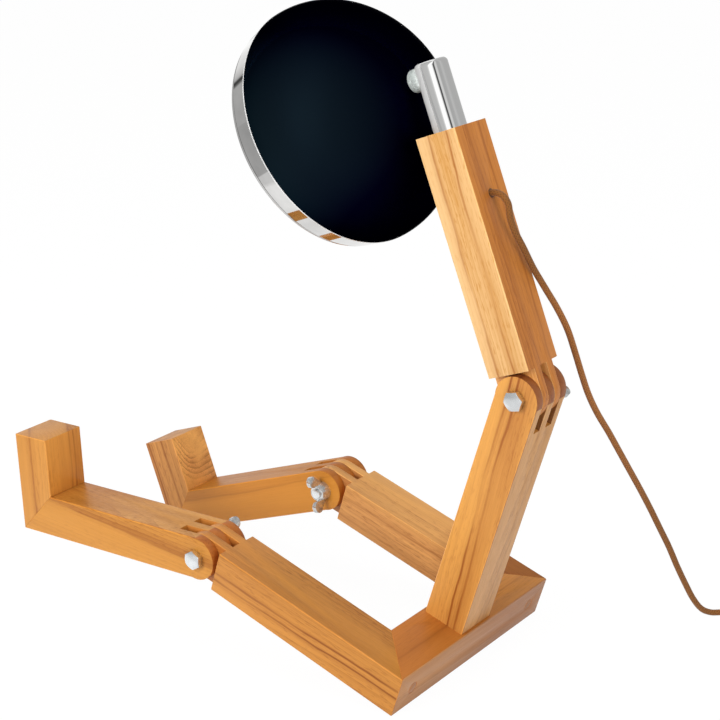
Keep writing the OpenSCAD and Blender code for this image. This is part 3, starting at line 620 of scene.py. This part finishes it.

# turn, pith and seed lay the grain in a bar, and veins place its two dark streaks
# zone is how far one side is figured, tones are pale and deep, ends are end grain, and the rest give single
# faces or a bar's length painted light and shade, with the back face's own grain

timberLook = {
    "seat_bar": {
        "turn": (0, -90, 0), "pith": (0.05, 0.03), "seed": 0.31, "streak": 0.4, "rings": 0.3,
        "veins": (0.012, -0.02), "tones": ((0.53, 0.18, 0.03), (0.32, 0.1, 0.015)),
        "back": ((0.55, 0.27, 0.11), (0.36, 0.16, 0.06)),
        "topPaintedSheen": {"axis": "X", "span": (0.04, -0.06), "tint": (1.22, 1.45, 1.6)},
        "backGrain": {"fade": {"axis": "X", "span": (0.06, -0.06), "tint": (0.87, 0.77, 0.7)}}},
    "left_thigh": {
        "turn": (seatTilt - 92, 0, 0), "pith": (-0.06, 0.02), "seed": 0.1, "streak": 0.95, "rings": 0.4,
        "veins": (0.003, -0.004), "zone": 0.3, "tones": ((0.65, 0.28, 0.052), (0.365, 0.132, 0.022)),
        "sawn": (0.85, 0.7, 0.7),
        "topPaintedSheen": {"axis": "Y", "span": (0.06, -0.03), "tint": (1.16, 1.14, 1.4)}},
    "right_thigh": {
        "turn": (seatTilt - 90, 0, 0), "pith": (-0.04, 0.04), "seed": 0.4, "streak": 0.6, "rings": 0.35,
        "veins": (0.01, -0.012), "tones": ((0.8, 0.4, 0.12), (0.46, 0.185, 0.05)),
        "sawn": (0.75, 0.65, 0.65),
        "fade": {"axis": "Y", "span": (0.1, 0.16), "tint": (0.43, 0.3, 0.19)}},
    "spine": {
        "turn": (seatTilt - 3.5, 0, 0), "pith": (0.03, 0.05), "seed": 0.2, "streak": 0.95, "rings": 0.45,
        "veins": (-0.001, 0.007), "zone": 0.6, "tones": ((0.74, 0.35, 0.078), (0.42, 0.15, 0.03)),
        "back": ((0.72, 0.39, 0.152), (0.45, 0.215, 0.077)), "sawn": (0.42, 0.36, 0.36),
        "ends": (0.5, 0.37, 0.43)},
    "torso": {
        "turn": (1.2 - lean, 0, 0), "pith": (-0.05, 0.06), "seed": 0.5, "streak": 0.9, "rings": 0.35,
        "veins": (-0.0075, 0.0105), "zone": 0.8, "tones": ((0.8, 0.508, 0.235), (0.56, 0.262, 0.06)),
        "back": ((0.64, 0.24, 0.046), (0.385, 0.12, 0.02)), "sawn": (1.0, 0.8, 0.6),
        "backGrain": {
            "turn": (1.2 - lean, 0, 88), "veins": (0.006, -0.013), "zone": 0.35, "rings": 0.5,
            "streak": 0.5}},
    "left_shin": {
        "turn": (leftSlope - 84, 0, 0), "pith": (-0.05, 0.05), "seed": 0.7, "streak": 0.8, "rings": 0.4,
        "veins": (0.0085, 0.06), "zone": 0.8, "tones": ((0.62, 0.272, 0.046), (0.35, 0.119, 0.016)),
        "sawn": (1.15, 1.1, 1.3), "ends": (0.95, 0.72, 0.8),
        "topPaintedSheen": {"axis": "Y", "span": (-0.19, -0.12), "tint": (1.25, 1.42, 2.1)}},
    "right_shin": {
        "turn": (rightSlope - 90, 0, 0), "pith": (0.06, 0.05), "seed": 0.2, "streak": 0.35, "rings": 0.3,
        "veins": (0.016, 0.06), "zone": 0.7, "tones": ((0.635, 0.255, 0.033), (0.39, 0.128, 0.014)),
        "sawn": (0.8, 0.7, 0.8), "ends": (0.85, 0.72, 0.8)},
    "left_foot": {
        "turn": (leftSlope, 0, -45), "pith": (-0.04, 0.05), "seed": 0.3, "streak": 0.8, "rings": 0.35,
        "veins": (0.0205, -0.019), "zone": 0.7, "tones": ((0.61, 0.275, 0.058), (0.35, 0.12, 0.023)),
        "back": ((0.78, 0.33, 0.056), (0.42, 0.13, 0.02)),
        "backGrain": {"turn": (leftSlope, 0, 88), "veins": (-0.006, -0.012), "zone": -0.5, "streak": 0.9}},
    "right_foot": {
        "turn": (rightSlope, 0, 0), "pith": (0.03, -0.05), "seed": 0.6, "streak": 0.85, "rings": 0.4,
        "veins": (-0.01, 0.012), "tones": ((0.7, 0.33, 0.09), (0.4, 0.15, 0.038)),
        "back": ((0.95, 0.46, 0.12), (0.46, 0.165, 0.035)),
        "backGrain": {
            "turn": (rightSlope + 42, 0, 0), "pith": (0.002, 0.027), "rings": 0.7, "streak": 0.0}},
    "corner_plugs": {
        "turn": (90, 0, 0), "pith": (0.03, 0.02), "seed": 0.1, "streak": 0.0, "rings": 0.3,
        "veins": (0.05, 0.06), "tones": ((0.46, 0.2, 0.07), (0.3, 0.115, 0.035))},
}
bodyOf = {name: thing["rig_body"] for name, thing in nodes.items()}
copyShape = {"weld": 0.000005, "flatWithin": 0.5, "edgeFrom": 40}


def mergedCopy(nodeName, pieceName, flatten):
    piece = nodes[nodeName].copy()
    piece.data = nodes[nodeName].data.copy()
    piece.name = pieceName
    for key in list(piece.keys()):
        del piece[key]
    piece.parent = None
    piece.data.materials.clear()
    bpy.context.scene.collection.objects.link(piece)
    editAll(piece)
    bpy.ops.mesh.remove_doubles(threshold=copyShape["weld"])
    if flatten:
        bpy.ops.mesh.dissolve_limited(angle_limit=math.radians(copyShape["flatWithin"]))
    leaveEdit()
    return piece


def softenedCopy(nodeName, pieceName, finish, width, shape):
    piece = mergedCopy(nodeName, pieceName, width > 0)
    if width:
        applyModifier(piece, "BEVEL", width=width, segments=shape["segments"], limit_method="ANGLE",
                      angle_limit=math.radians(copyShape["edgeFrom"]))
    smoothByAngle(piece, shape["maxAngle"])
    piece.data.materials.append(finish)
    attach(piece, bodyOf[nodeName])
    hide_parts(nodeName)
    return piece


def camelName(nodeName):
    first, *rest = nodeName.split("_")
    return first + "".join(word.title() for word in rest)


def barCentre(nodeName):
    corners = [Vector(c) for c in nodes[nodeName].bound_box]
    return (corners[0] + corners[6]) / 2


# a bar's back face has its own grain, and its own tones that are painted light and shade for how that face
# is lit, and a bar or its top may be painted darker or paler along its length as painted shade and painted
# sheen
# rounded ends show end grain, walls between the fingers are painted lighter or darker as painted light and
# shade, and arrises are painted paler as a painted highlight

def paintFaces(piece, finish, chosen):
    piece.data.materials.append(finish)
    for face in piece.data.polygons:
        if chosen(face):
            face.material_index = len(piece.data.materials) - 1


def shaded(tones, factors):
    palest = timberShape["palest"]
    return [tuple(min(c * f, palest) for c, f in zip(tone, factors)) for tone in tones]


def paintTimber(piece, nodeName, look):
    centre, shape = barCentre(nodeName), timberShape

    def onBack(face):
        return face.normal.y > shape["facing"]

    def onTop(face):
        return face.normal.z > shape["facing"]

    def onRoundEnd(face):
        return abs(face.normal.x) < shape["roundTo"] and face.area < shape["flat"]

    def onSawnWall(face):
        return abs(face.normal.x) > shape["sideFrom"] and abs(face.center.x - centre.x) < shape["inner"]

    def onArris(face):
        return shape["roundTo"] < abs(face.normal.x) < shape["arrisTo"]

    def coat(label, chosen, tones, **changes):
        finish = timberFinish(camelName(nodeName) + label + "Grain", centre, {**look, **changes}, tones)
        paintFaces(piece, finish, chosen)

    if "back" in look:
        coat("Back", onBack, look["back"], **look.get("backGrain", {}))
    if "topPaintedSheen" in look:
        coat("Top", onTop, look["tones"], fade=look["topPaintedSheen"])
    if "ends" in look:
        coat("End", onRoundEnd, shaded(look["tones"], look["ends"]))
    if "sawn" in look:
        coat("Sawn", onSawnWall, shaded(look["tones"], look["sawn"]))
    coat("Arris", onArris, shaded(look["tones"], shape["worn"]), streak=shape["arrisPaintedHighlightStreak"])


for nodeName, look in timberLook.items():
    finish = timberFinish(camelName(nodeName) + "Grain", barCentre(nodeName), look, look["tones"])
    pieceName = camelName(nodeName) + "Timber"
    piece = softenedCopy(nodeName, pieceName, finish, timberShape["arris"], timberShape)
    paintTimber(piece, nodeName, look)
dowelLook = timberLook["corner_plugs"]
dowelFinish = timberFinish("dowelGrain", Vector(), dowelLook, dowelLook["tones"])
for nodeName in ("spine_dowels", "left_foot_dowels", "right_foot_dowels"):
    nodes[nodeName].data.materials.clear()
    nodes[nodeName].data.materials.append(dowelFinish)
print("timber made")


# hinge hardware, switch, plug and small pieces: merged copies with softened edges
# each has its finish and the width of that edge

hardwareShape = {"segments": 2, "maxAngle": 40}
hardwareLook = {
    "waist_bolt": ("zinc", 0.0004), "left_knee_bolt": ("zinc", 0.0004), "right_knee_bolt": ("zinc", 0.0004),
    "waist_wing_nut": ("cast", 0.0006), "left_knee_wing_nut": ("cast", 0.0006),
    "right_knee_wing_nut": ("cast", 0.0006), "ball_stud": ("cup", 0), "stud_nut": ("zinc", 0.0003),
    "ball_cup": ("cup", 0.0005), "cable_grommet": ("brownRubber", 0.0003),
    "glass_seal": ("rubber", 0), "lamp_holder": ("holder", 0.0006), "inner_flex": ("flex", 0),
    "switch_base": ("moulding", 0.0012), "switch_cover": ("moulding", 0.0015),
    "switch_rocker": ("moulding", 0.0004), "plug_body": ("moulding", 0.0012),
    "plug_pins": ("brass", 0.0008), "corner_screws": ("zinc", 0),
}
for nodeName, (finishName, width) in hardwareLook.items():
    pieceName = camelName(nodeName) + "Piece"
    piece = softenedCopy(nodeName, pieceName, finishes[finishName], width, hardwareShape)
print("hardware made")


# turned pieces: a profile drawn point by point and spun round its axis

turnedShape = {"seed": 0.001, "weld": 0.00001}


def turnedPiece(name, profile, axisAt, axisWay, steps):
    dropSelection()
    bpy.ops.mesh.primitive_plane_add(size=turnedShape["seed"])
    piece = bpy.context.object
    piece.name = name
    editAll(piece)
    bpy.ops.mesh.merge(type="CENTER")
    x, z = profile[0]
    bpy.ops.transform.translate(value=(x, 0, z))
    for nextX, nextZ in profile[1:]:
        bpy.ops.mesh.extrude_region_move(TRANSFORM_OT_translate={"value": (nextX - x, 0, nextZ - z)})
        x, z = nextX, nextZ
    bpy.ops.mesh.select_all(action="SELECT")
    bpy.ops.mesh.spin(steps=steps, angle=2 * math.pi, center=(0, 0, 0), axis=(0, 0, 1))
    bpy.ops.mesh.select_all(action="SELECT")
    bpy.ops.mesh.remove_doubles(threshold=turnedShape["weld"])
    bpy.ops.mesh.normals_make_consistent(inside=False)
    leaveEdit()
    turn = Vector((0, 0, 1)).rotation_difference(Vector(axisWay)).to_matrix().to_4x4()
    piece.data.transform(Matrix.Translation(axisAt) @ turn)
    return piece


def arcPoints(centre, radius, start, end, count):
    points = []
    for i in range(count + 1):
        a = math.radians(start + (end - start) * i / count)
        points.append((centre[0] + radius * math.cos(a), centre[1] + radius * math.sin(a)))
    return points


ballAt = Vector(joints["head_tilt"]["pos_m"])
neckUp = Vector(joints["neck_swivel"]["axis"]).normalized()
tiltAxis = Vector(joints["head_tilt"]["axis"]).normalized()
neckForward = neckUp.cross(tiltAxis) * -1
headShape = {
    "tilt": 8.5, "radius": 0.115, "depth": 0.0925, "shoulder": 0.07, "gap": 0.0065, "wall": 0.0012,
    "studHole": 0.00402, "arcs": (24, 20), "steps": 160,
    "rimDepth": 0.024, "rimFront": 0.11, "rimWall": 0.0015, "rimLip": 0.006, "rimSpigot": 0.006,
    "seat": 0.0001, "glass": 0.003, "crown": 0.01, "glassArc": 20, "glassSteps": 128,
    "seal": 0.002, "sealGap": 0.0005, "sealEdge": 0.002,
}
headTilt = math.radians(headShape["tilt"])
headWay = neckForward * math.cos(headTilt) - neckUp * math.sin(headTilt)


def domeProfile(shape, inset):
    side = shape["radius"] - shape["shoulder"]
    depth, shoulder = shape["depth"], shape["shoulder"]
    back = (side ** 2 + depth ** 2 - shoulder ** 2) / (2 * (depth - shoulder))
    rimAt = shape["gap"] + shape["depth"]
    backAt = shape["gap"] + back
    turnAt = math.degrees(math.atan2(rimAt - backAt, side))
    startAt = -math.degrees(math.acos(shape["studHole"] / (back - inset)))
    backArc, sideArc = shape["arcs"]
    points = arcPoints((0, backAt), back - inset, startAt, turnAt, backArc)
    return points + arcPoints((side, rimAt), shoulder - inset, turnAt, 0, sideArc)[1:]


def makeHeadShell(shape):
    outside = domeProfile(shape, 0)
    inside = domeProfile(shape, shape["wall"])
    profile = outside + inside[::-1] + outside[:1]
    return turnedPiece("headShellTurned", profile, ballAt, headWay, shape["steps"])


# the rim is a straight band between a fine bead at the dome and a rolled front edge
# a groove runs behind the roll

rimShape = {
    "bead": 0.001, "beadArc": (-90, 50), "band": (0.1143, 0.1116), "groove": 0.1104,
    "grooveAt": (0.0046, 0.0028), "grooveEase": 0.0002, "roll": 0.0013, "rollAt": 0.1093,
    "rollArc": (-40, 90), "lipEase": 0.0006, "underRoll": 0.0007, "arc": 8, "steps": 288,
}


def rimPlaces(shape, rim):
    rimAt = shape["gap"] + shape["depth"]
    frontAt = rimAt + shape["rimDepth"]
    return rimAt, frontAt, *(frontAt - at for at in rim["grooveAt"])


def makeRim(shape, rim):
    rimAt, frontAt, grooveBack, grooveFront = rimPlaces(shape, rim)
    wall, bead, roll = shape["rimWall"], rim["bead"], rim["roll"]
    lipIn = shape["rimFront"] - shape["rimLip"]
    bandBack, bandFront = rim["band"]
    curve = math.sqrt((shape["shoulder"] - shape["wall"]) ** 2 - shape["rimSpigot"] ** 2)
    spigot = shape["radius"] - shape["shoulder"] + curve - shape["seat"]
    profile = arcPoints((shape["radius"] - bead, rimAt + bead), bead, *rim["beadArc"], rim["arc"])
    profile += [(bandBack, rimAt + 2 * bead), (bandFront, grooveBack)]
    profile += [(rim["groove"], grooveBack + rim["grooveEase"]), (rim["groove"], grooveFront)]
    profile += arcPoints((rim["rollAt"], frontAt - roll), roll, *rim["rollArc"], rim["arc"])
    ease = rim["lipEase"]
    profile += [(lipIn + ease, frontAt), (lipIn, frontAt - ease), (lipIn, frontAt - wall)]
    profile += [(rim["groove"] - rim["underRoll"], frontAt - wall), (bandFront - wall, grooveBack - wall)]
    profile += [(bandBack - wall, rimAt + wall)]
    profile += [(spigot - wall, rimAt + wall), (spigot - wall, rimAt - shape["rimSpigot"])]
    profile += [(spigot, rimAt - shape["rimSpigot"]), (spigot, rimAt), profile[0]]
    return turnedPiece("rimRingTurned", profile, ballAt, headWay, rim["steps"])


# the groove gets a dark finish as painted shade, and the bead a pale one as a painted highlight
def paintRim(ring, shape, rim):
    rimAt, _, grooveBack, grooveFront = rimPlaces(shape, rim)
    slack = rim["grooveEase"] / 2

    def placed(face):
        offset = face.center - ballAt
        along = offset.dot(headWay)
        return along, (offset - along * headWay).length

    def inGroove(face):
        along, radius = placed(face)
        inside = grooveBack - slack < along < grooveFront + slack
        return inside and radius > rim["groove"] - 2 * slack

    def onBead(face):
        along, radius = placed(face)
        return rimAt < along < rimAt + 2 * rim["bead"] and radius > shape["radius"] - rim["bead"]

    paintFaces(ring, finishes["rimGroove"], inGroove)
    paintFaces(ring, finishes["rimBead"], onBead)


def makeGlass(shape):
    frontAt = shape["gap"] + shape["depth"] + shape["rimDepth"]
    glassAt = frontAt - shape["rimWall"] - shape["seal"] - shape["glass"]
    edge = shape["rimFront"] - shape["rimWall"] - shape["sealGap"] - shape["sealEdge"]
    bow = (edge ** 2 + shape["crown"] ** 2) / (2 * shape["crown"])
    middle = (0, glassAt + shape["crown"] - bow)
    startAt = math.degrees(math.acos(edge / bow))
    under = arcPoints(middle, bow, startAt, 90, shape["glassArc"])
    outerStart = math.degrees(math.acos(edge / (bow + shape["glass"])))
    over = arcPoints(middle, bow + shape["glass"], 90, outerStart, shape["glassArc"])
    profile = under[:-1] + [(0, under[-1][1]), (0, over[0][1])] + over[1:] + under[:1]
    return turnedPiece("frontGlassTurned", profile, ballAt, headWay, shape["glassSteps"])


# the spun bowl behind the glass, with a collar round the lamp holder and a flange under the seal

bowlShape = {
    "holder": 0.016, "edge": 0.1, "neck": 0.0367, "curve": 7.86125, "wall": 0.0012, "collar": 0.008,
    "flange": 0.108, "front": 0.1145, "curveSteps": 32, "steps": 160,
}


def makeReflector(bowl):
    wall, holder, edge, front = bowl["wall"], bowl["holder"], bowl["edge"], bowl["front"]
    inside, behind = [], []
    for i in range(bowl["curveSteps"] + 1):
        x = holder + (edge - holder) * i / bowl["curveSteps"]
        z = bowl["neck"] + bowl["curve"] * (x ** 2 - holder ** 2)
        away = Vector((2 * bowl["curve"] * x, -1)).normalized() * wall
        inside.append((x, z))
        behind.append((x + away.x, z + away.y))
    foot, flange, neck = bowl["neck"] - bowl["collar"], bowl["flange"], bowl["neck"]
    profile = inside + [(edge, front), (flange, front), (flange, front - wall), (edge + wall, front - wall)]
    profile += behind[:0:-1] + [(holder + wall, neck - wall), (holder + wall, foot)]
    profile += [(holder, foot), inside[0]]
    return turnedPiece("reflectorTurned", profile, ballAt, headWay, bowl["steps"])


# a round bulb on a threaded base

bulbShape = {
    "foot": 0.0287, "base": 0.012, "tip": 0.0084, "taper": (0.001, 0.002), "thread": 0.0006, "turns": 5,
    "turnSteps": 6, "threadFrom": 0.003, "threadEnd": 0.002, "globe": 0.024, "globeAt": 0.0687,
    "globeArc": 28, "zincEnd": 0.0005, "steps": 72,
}


def makeBulb(bulb):
    base, globe, foot = bulb["base"], bulb["globe"], bulb["foot"]
    startAt = -math.degrees(math.acos(base / globe))
    shoulder = bulb["globeAt"] + globe * math.sin(math.radians(startAt))
    taper, taperUp = bulb["taper"]
    profile = [(0, foot), (bulb["tip"], foot), (base - taper, foot + taperUp)]
    threadAt, threadTop = foot + bulb["threadFrom"], shoulder - bulb["threadEnd"]
    count = bulb["turns"] * bulb["turnSteps"]
    for i in range(count + 1):
        wave = bulb["thread"] * (math.cos(2 * math.pi * i / bulb["turnSteps"]) - 1) / 2
        profile.append((base + wave, threadAt + (threadTop - threadAt) * i / count))
    profile += arcPoints((0, bulb["globeAt"]), globe, startAt, 90, bulb["globeArc"])[:-1]
    profile.append((0, bulb["globeAt"] + globe))
    return turnedPiece("bulbTurned", profile, ballAt, headWay, bulb["steps"]), shoulder


neckShape = {
    "radius": 0.015, "wall": 0.002, "out": 0.061, "in": 0.04, "round": 0.004, "cap": 0.0025, "foot": 0.0005,
    "inside": 0.001, "arc": 8, "steps": 96, "colour": (0.8, 0.8, 0.793), "marks": (0.03, 0.07, 25),
    "satin": (-0.06, 0.06), "satinRough": 0.25, "satinDull": 0.65,
}


def makeNeck(shape):
    r, top = shape["radius"], shape["out"]
    inner = r - shape["wall"]
    crown = arcPoints((r - shape["round"], top - shape["round"]), shape["round"], 90, 0, shape["arc"])
    foot, ease, low, under = shape["foot"], shape["inside"], -shape["in"], top - shape["cap"]
    profile = [(0, top)] + crown + [(r, low + foot), (r - foot, low), (inner, low)]
    profile += [(inner, under - ease), (inner - ease, under), (0, under)]
    neckAt = Vector(joints["neck_swivel"]["pos_m"])
    return turnedPiece("neckTubeTurned", profile, neckAt, neckUp, shape["steps"])


# the tube is polished, with a satin side where the head rubs past it

def tubeFinish(shape):
    finish, tree, shader = newFinish("neckChrome")
    towards = vectorNode(tree, "DOT_PRODUCT", objectPlace(tree), neckForward)["Value"]
    start = Vector(joints["neck_swivel"]["pos_m"]).dot(neckForward)
    satin = spread(tree, towards, *(start + shape["radius"] * part for part in shape["satin"]))
    rough = handled(tree, *shape["marks"])["Roughness"]
    give(shader, {"Base Color": (*shape["colour"], 1),
                  "Roughness": multiplyAdd(tree, satin, shape["satinRough"], rough),
                  "Metallic": multiplyAdd(tree, satin, -shape["satinDull"], 1.0)})
    return finish


finishes["neck"] = tubeFinish(neckShape)
bulb, bulbShoulder = makeBulb(bulbShape)
turnedLook = (
    (makeReflector(bowlShape), "reflector", "reflector", 40),
    (bulb, "opal", "bulb", 40),
    (makeHeadShell(headShape), "enamel", "head_shell", 30),
    (makeRim(headShape, rimShape), "rim", "rim_ring", 35),
    (makeGlass(headShape), "glass", "front_glass", 40),
    (makeNeck(neckShape), "neck", "neck_tube", 40),
)
for piece, finishName, nodeName, angle in turnedLook:
    piece.data.materials.append(finishes[finishName])
    smoothByAngle(piece, angle)
    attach(piece, bodyOf[nodeName])
    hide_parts(nodeName)
paintRim(bpy.data.objects["rimRingTurned"], headShape, rimShape)
zincTop = bulbShoulder - bulbShape["zincEnd"]
paintFaces(bulb, finishes["zinc"], lambda face: (face.center - ballAt).dot(headWay) < zincTop)
print("head and neck made")


# a strap holds the turns of the coil together

tieShape = {
    "low": (0.0207, 0.00005), "high": (0.0425, 0.0138), "width": 0.008, "wall": 0.0008, "round": 0.004,
    "segments": 4, "maxAngle": 40,
}


def makeTie(shape, centre):
    low, high = shape["low"], shape["high"]
    dropSelection()
    bpy.ops.mesh.primitive_cube_add(size=1)
    tie = bpy.context.object
    tie.name = "coilTie"
    editAll(tie)
    bpy.ops.mesh.select_mode(type="FACE")
    bpy.ops.mesh.select_all(action="DESELECT")
    leaveEdit()
    for face in tie.data.polygons:
        face.select = abs(face.normal.y) > 0.5
    bpy.ops.object.mode_set(mode="EDIT")
    bpy.ops.mesh.delete(type="FACE")
    leaveEdit()
    size = Vector((high[0] - low[0], shape["width"], high[1] - low[1]))
    middle = Vector((centre[0] + (low[0] + high[0]) / 2, centre[1], (low[1] + high[1]) / 2))
    tie.data.transform(Matrix.Translation(middle) @ Matrix.Diagonal((*size, 1)))
    applyModifier(tie, "BEVEL", width=shape["round"], segments=shape["segments"], limit_method="NONE")
    applyModifier(tie, "SOLIDIFY", thickness=shape["wall"], offset=-1)
    smoothByAngle(tie, shape["maxAngle"])
    tie.data.materials.append(finishes["rubber"])
    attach(tie, "seat")
    return tie


makeTie(tieShape, [c / 1000 for c in coilCentre(cordShape)])


# the cord turns from the torso to the floor, and its switch and plug are on it

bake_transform(cord)


# stage: white floor that keeps a faint shadow, soft boxes and a pale world

stageLook = {
    "floorSize": 12, "floorDrop": 0.0005, "floorTone": 0.9, "floorRough": 0.9, "floorGloss": 0.8,
    "shadow": 0.05, "white": 1.02, "world": 0.42,
    "frontSheet": {
        "far": -0.65, "blur": 0.01, "near": (-0.12, 0.0), "side": (0.33, 0.36), "level": 1.08,
        "beyond": 0.47},
    "strips": [
        (0.0, 0.5), (0.1, 0.6), (0.14, 1.15), (0.19, 1.0), (0.214, 0.6), (0.219, 0.06), (0.225, 0.06),
        (0.23, 0.5), (0.5, 0.6), (0.52, 0.75), (0.535, 1.3), (0.585, 1.3), (0.61, 0.8), (0.615, 0.1),
        (0.64, 0.1), (0.65, 0.75), (0.68, 0.75), (0.7, 0.47), (0.75, 0.48), (0.79, 0.6), (0.84, 0.5),
        (1.0, 0.5)],
    "softBoxes": {
        "keyBox": {"at": (2.4, -0.5, 1.2), "aim": (0, 0.1, 0.25), "size": 1.4, "watts": 51},
        "topBox": {"at": (-0.2, 0.3, 2.4), "aim": (0, 0, 0.2), "size": 1.6, "watts": 18},
        "fillBox": {"at": (0.6, 2.6, 1.0), "aim": (0, 0.1, 0.25), "size": 1.4, "watts": 20}},
}


def makeFloor(look):
    dropSelection()
    bpy.ops.mesh.primitive_plane_add(size=look["floorSize"], location=(0, 0, -look["floorDrop"]))
    floor = bpy.context.object
    floor.name = "studioFloor"
    finish, tree, shader = newFinish("floorWhite")
    tone = look["floorTone"]
    give(shader, {"Base Color": (tone, tone, tone, 1), "Roughness": look["floorRough"]})
    path = addNode(tree, "ShaderNodeLightPath").outputs
    mirrored = mathNode(tree, "MAXIMUM", path["Is Glossy Ray"], path["Is Transmission Ray"])
    x, y, _ = split(tree, objectPlace(tree))
    sheet, plain = look["frontSheet"], look["floorGloss"]
    inside = spread(tree, y, sheet["far"] - sheet["blur"], sheet["far"] + sheet["blur"])
    bright = multiply(tree, spread(tree, y, *sheet["near"], 1.0, 0.0),
                      spread(tree, x, *sheet["side"], 1.0, 0.0))
    near = multiplyAdd(tree, bright, sheet["level"] - plain, plain - sheet["beyond"])
    sheen = multiplyAdd(tree, inside, near, sheet["beyond"])
    change = mathNode(tree, "SUBTRACT", sheen, look["white"])
    level = multiplyAdd(tree, mirrored, change, look["white"])
    glow = give(addNode(tree, "ShaderNodeEmission"), {"Strength": level})
    seen = mathNode(tree, "MAXIMUM", path["Is Camera Ray"], mirrored)
    mix = mixShader(tree, multiply(tree, seen, 1 - look["shadow"]), shader, glow)
    give(tree.nodes["Material Output"], {"Surface": mix.outputs[0]})
    floor.data.materials.append(finish)


# polished metal mirrors upright strips of light and dark round the set

def makeWorld(look):
    world = bpy.data.worlds.new("studioWorld")
    world.use_nodes = True
    bpy.context.scene.world = world
    tree = world.node_tree
    x, y, _ = split(tree, addNode(tree, "ShaderNodeTexCoord").outputs["Generated"])
    bearing = spread(tree, mathNode(tree, "ARCTAN2", y, x), -math.pi, math.pi)
    ramp = give(addNode(tree, "ShaderNodeFloatCurve"), {"Value": bearing})
    curve = ramp.mapping.curves[0].points
    for at, level in look["strips"][1:-1]:
        curve.new(at, level / 2)
    curve[0].location = (0, look["strips"][0][1] / 2)
    curve[-1].location = (1, look["strips"][-1][1] / 2)
    for point in curve:
        point.handle_type = "VECTOR"
    ramp.mapping.update()
    light = tree.nodes["Background"]
    white = addNode(tree, "ShaderNodeBackground")
    strips = addNode(tree, "ShaderNodeBackground")
    mirrored = multiply(tree, ramp.outputs[0], 2.0)
    for node, strength in ((light, look["world"]), (white, 1.0), (strips, mirrored)):
        give(node, {"Color": (1, 1, 1, 1), "Strength": strength})
    path = addNode(tree, "ShaderNodeLightPath").outputs
    metal = mixShader(tree, path["Is Glossy Ray"], light, strips)
    plainView = mathNode(tree, "MAXIMUM", path["Is Camera Ray"], path["Is Transmission Ray"])
    mix = mixShader(tree, plainView, metal, white)
    give(tree.nodes["World Output"], {"Surface": mix.outputs[0]})


def makeSoftBox(name, look):
    light = bpy.data.lights.new(name, "AREA")
    light.shape = "SQUARE"
    light.size = look["size"]
    light.energy = look["watts"]
    box = bpy.data.objects.new(name, light)
    bpy.context.scene.collection.objects.link(box)
    box.location = look["at"]
    aim = Vector(look["aim"]) - Vector(look["at"])
    box.rotation_euler = aim.to_track_quat("-Z", "Y").to_euler()
    box.visible_glossy = False


makeFloor(stageLook)
makeWorld(stageLook)
for name, boxLook in stageLook["softBoxes"].items():
    makeSoftBox(name, boxLook)
bpy.context.scene.view_settings.view_transform = "Standard"
print("stage made")
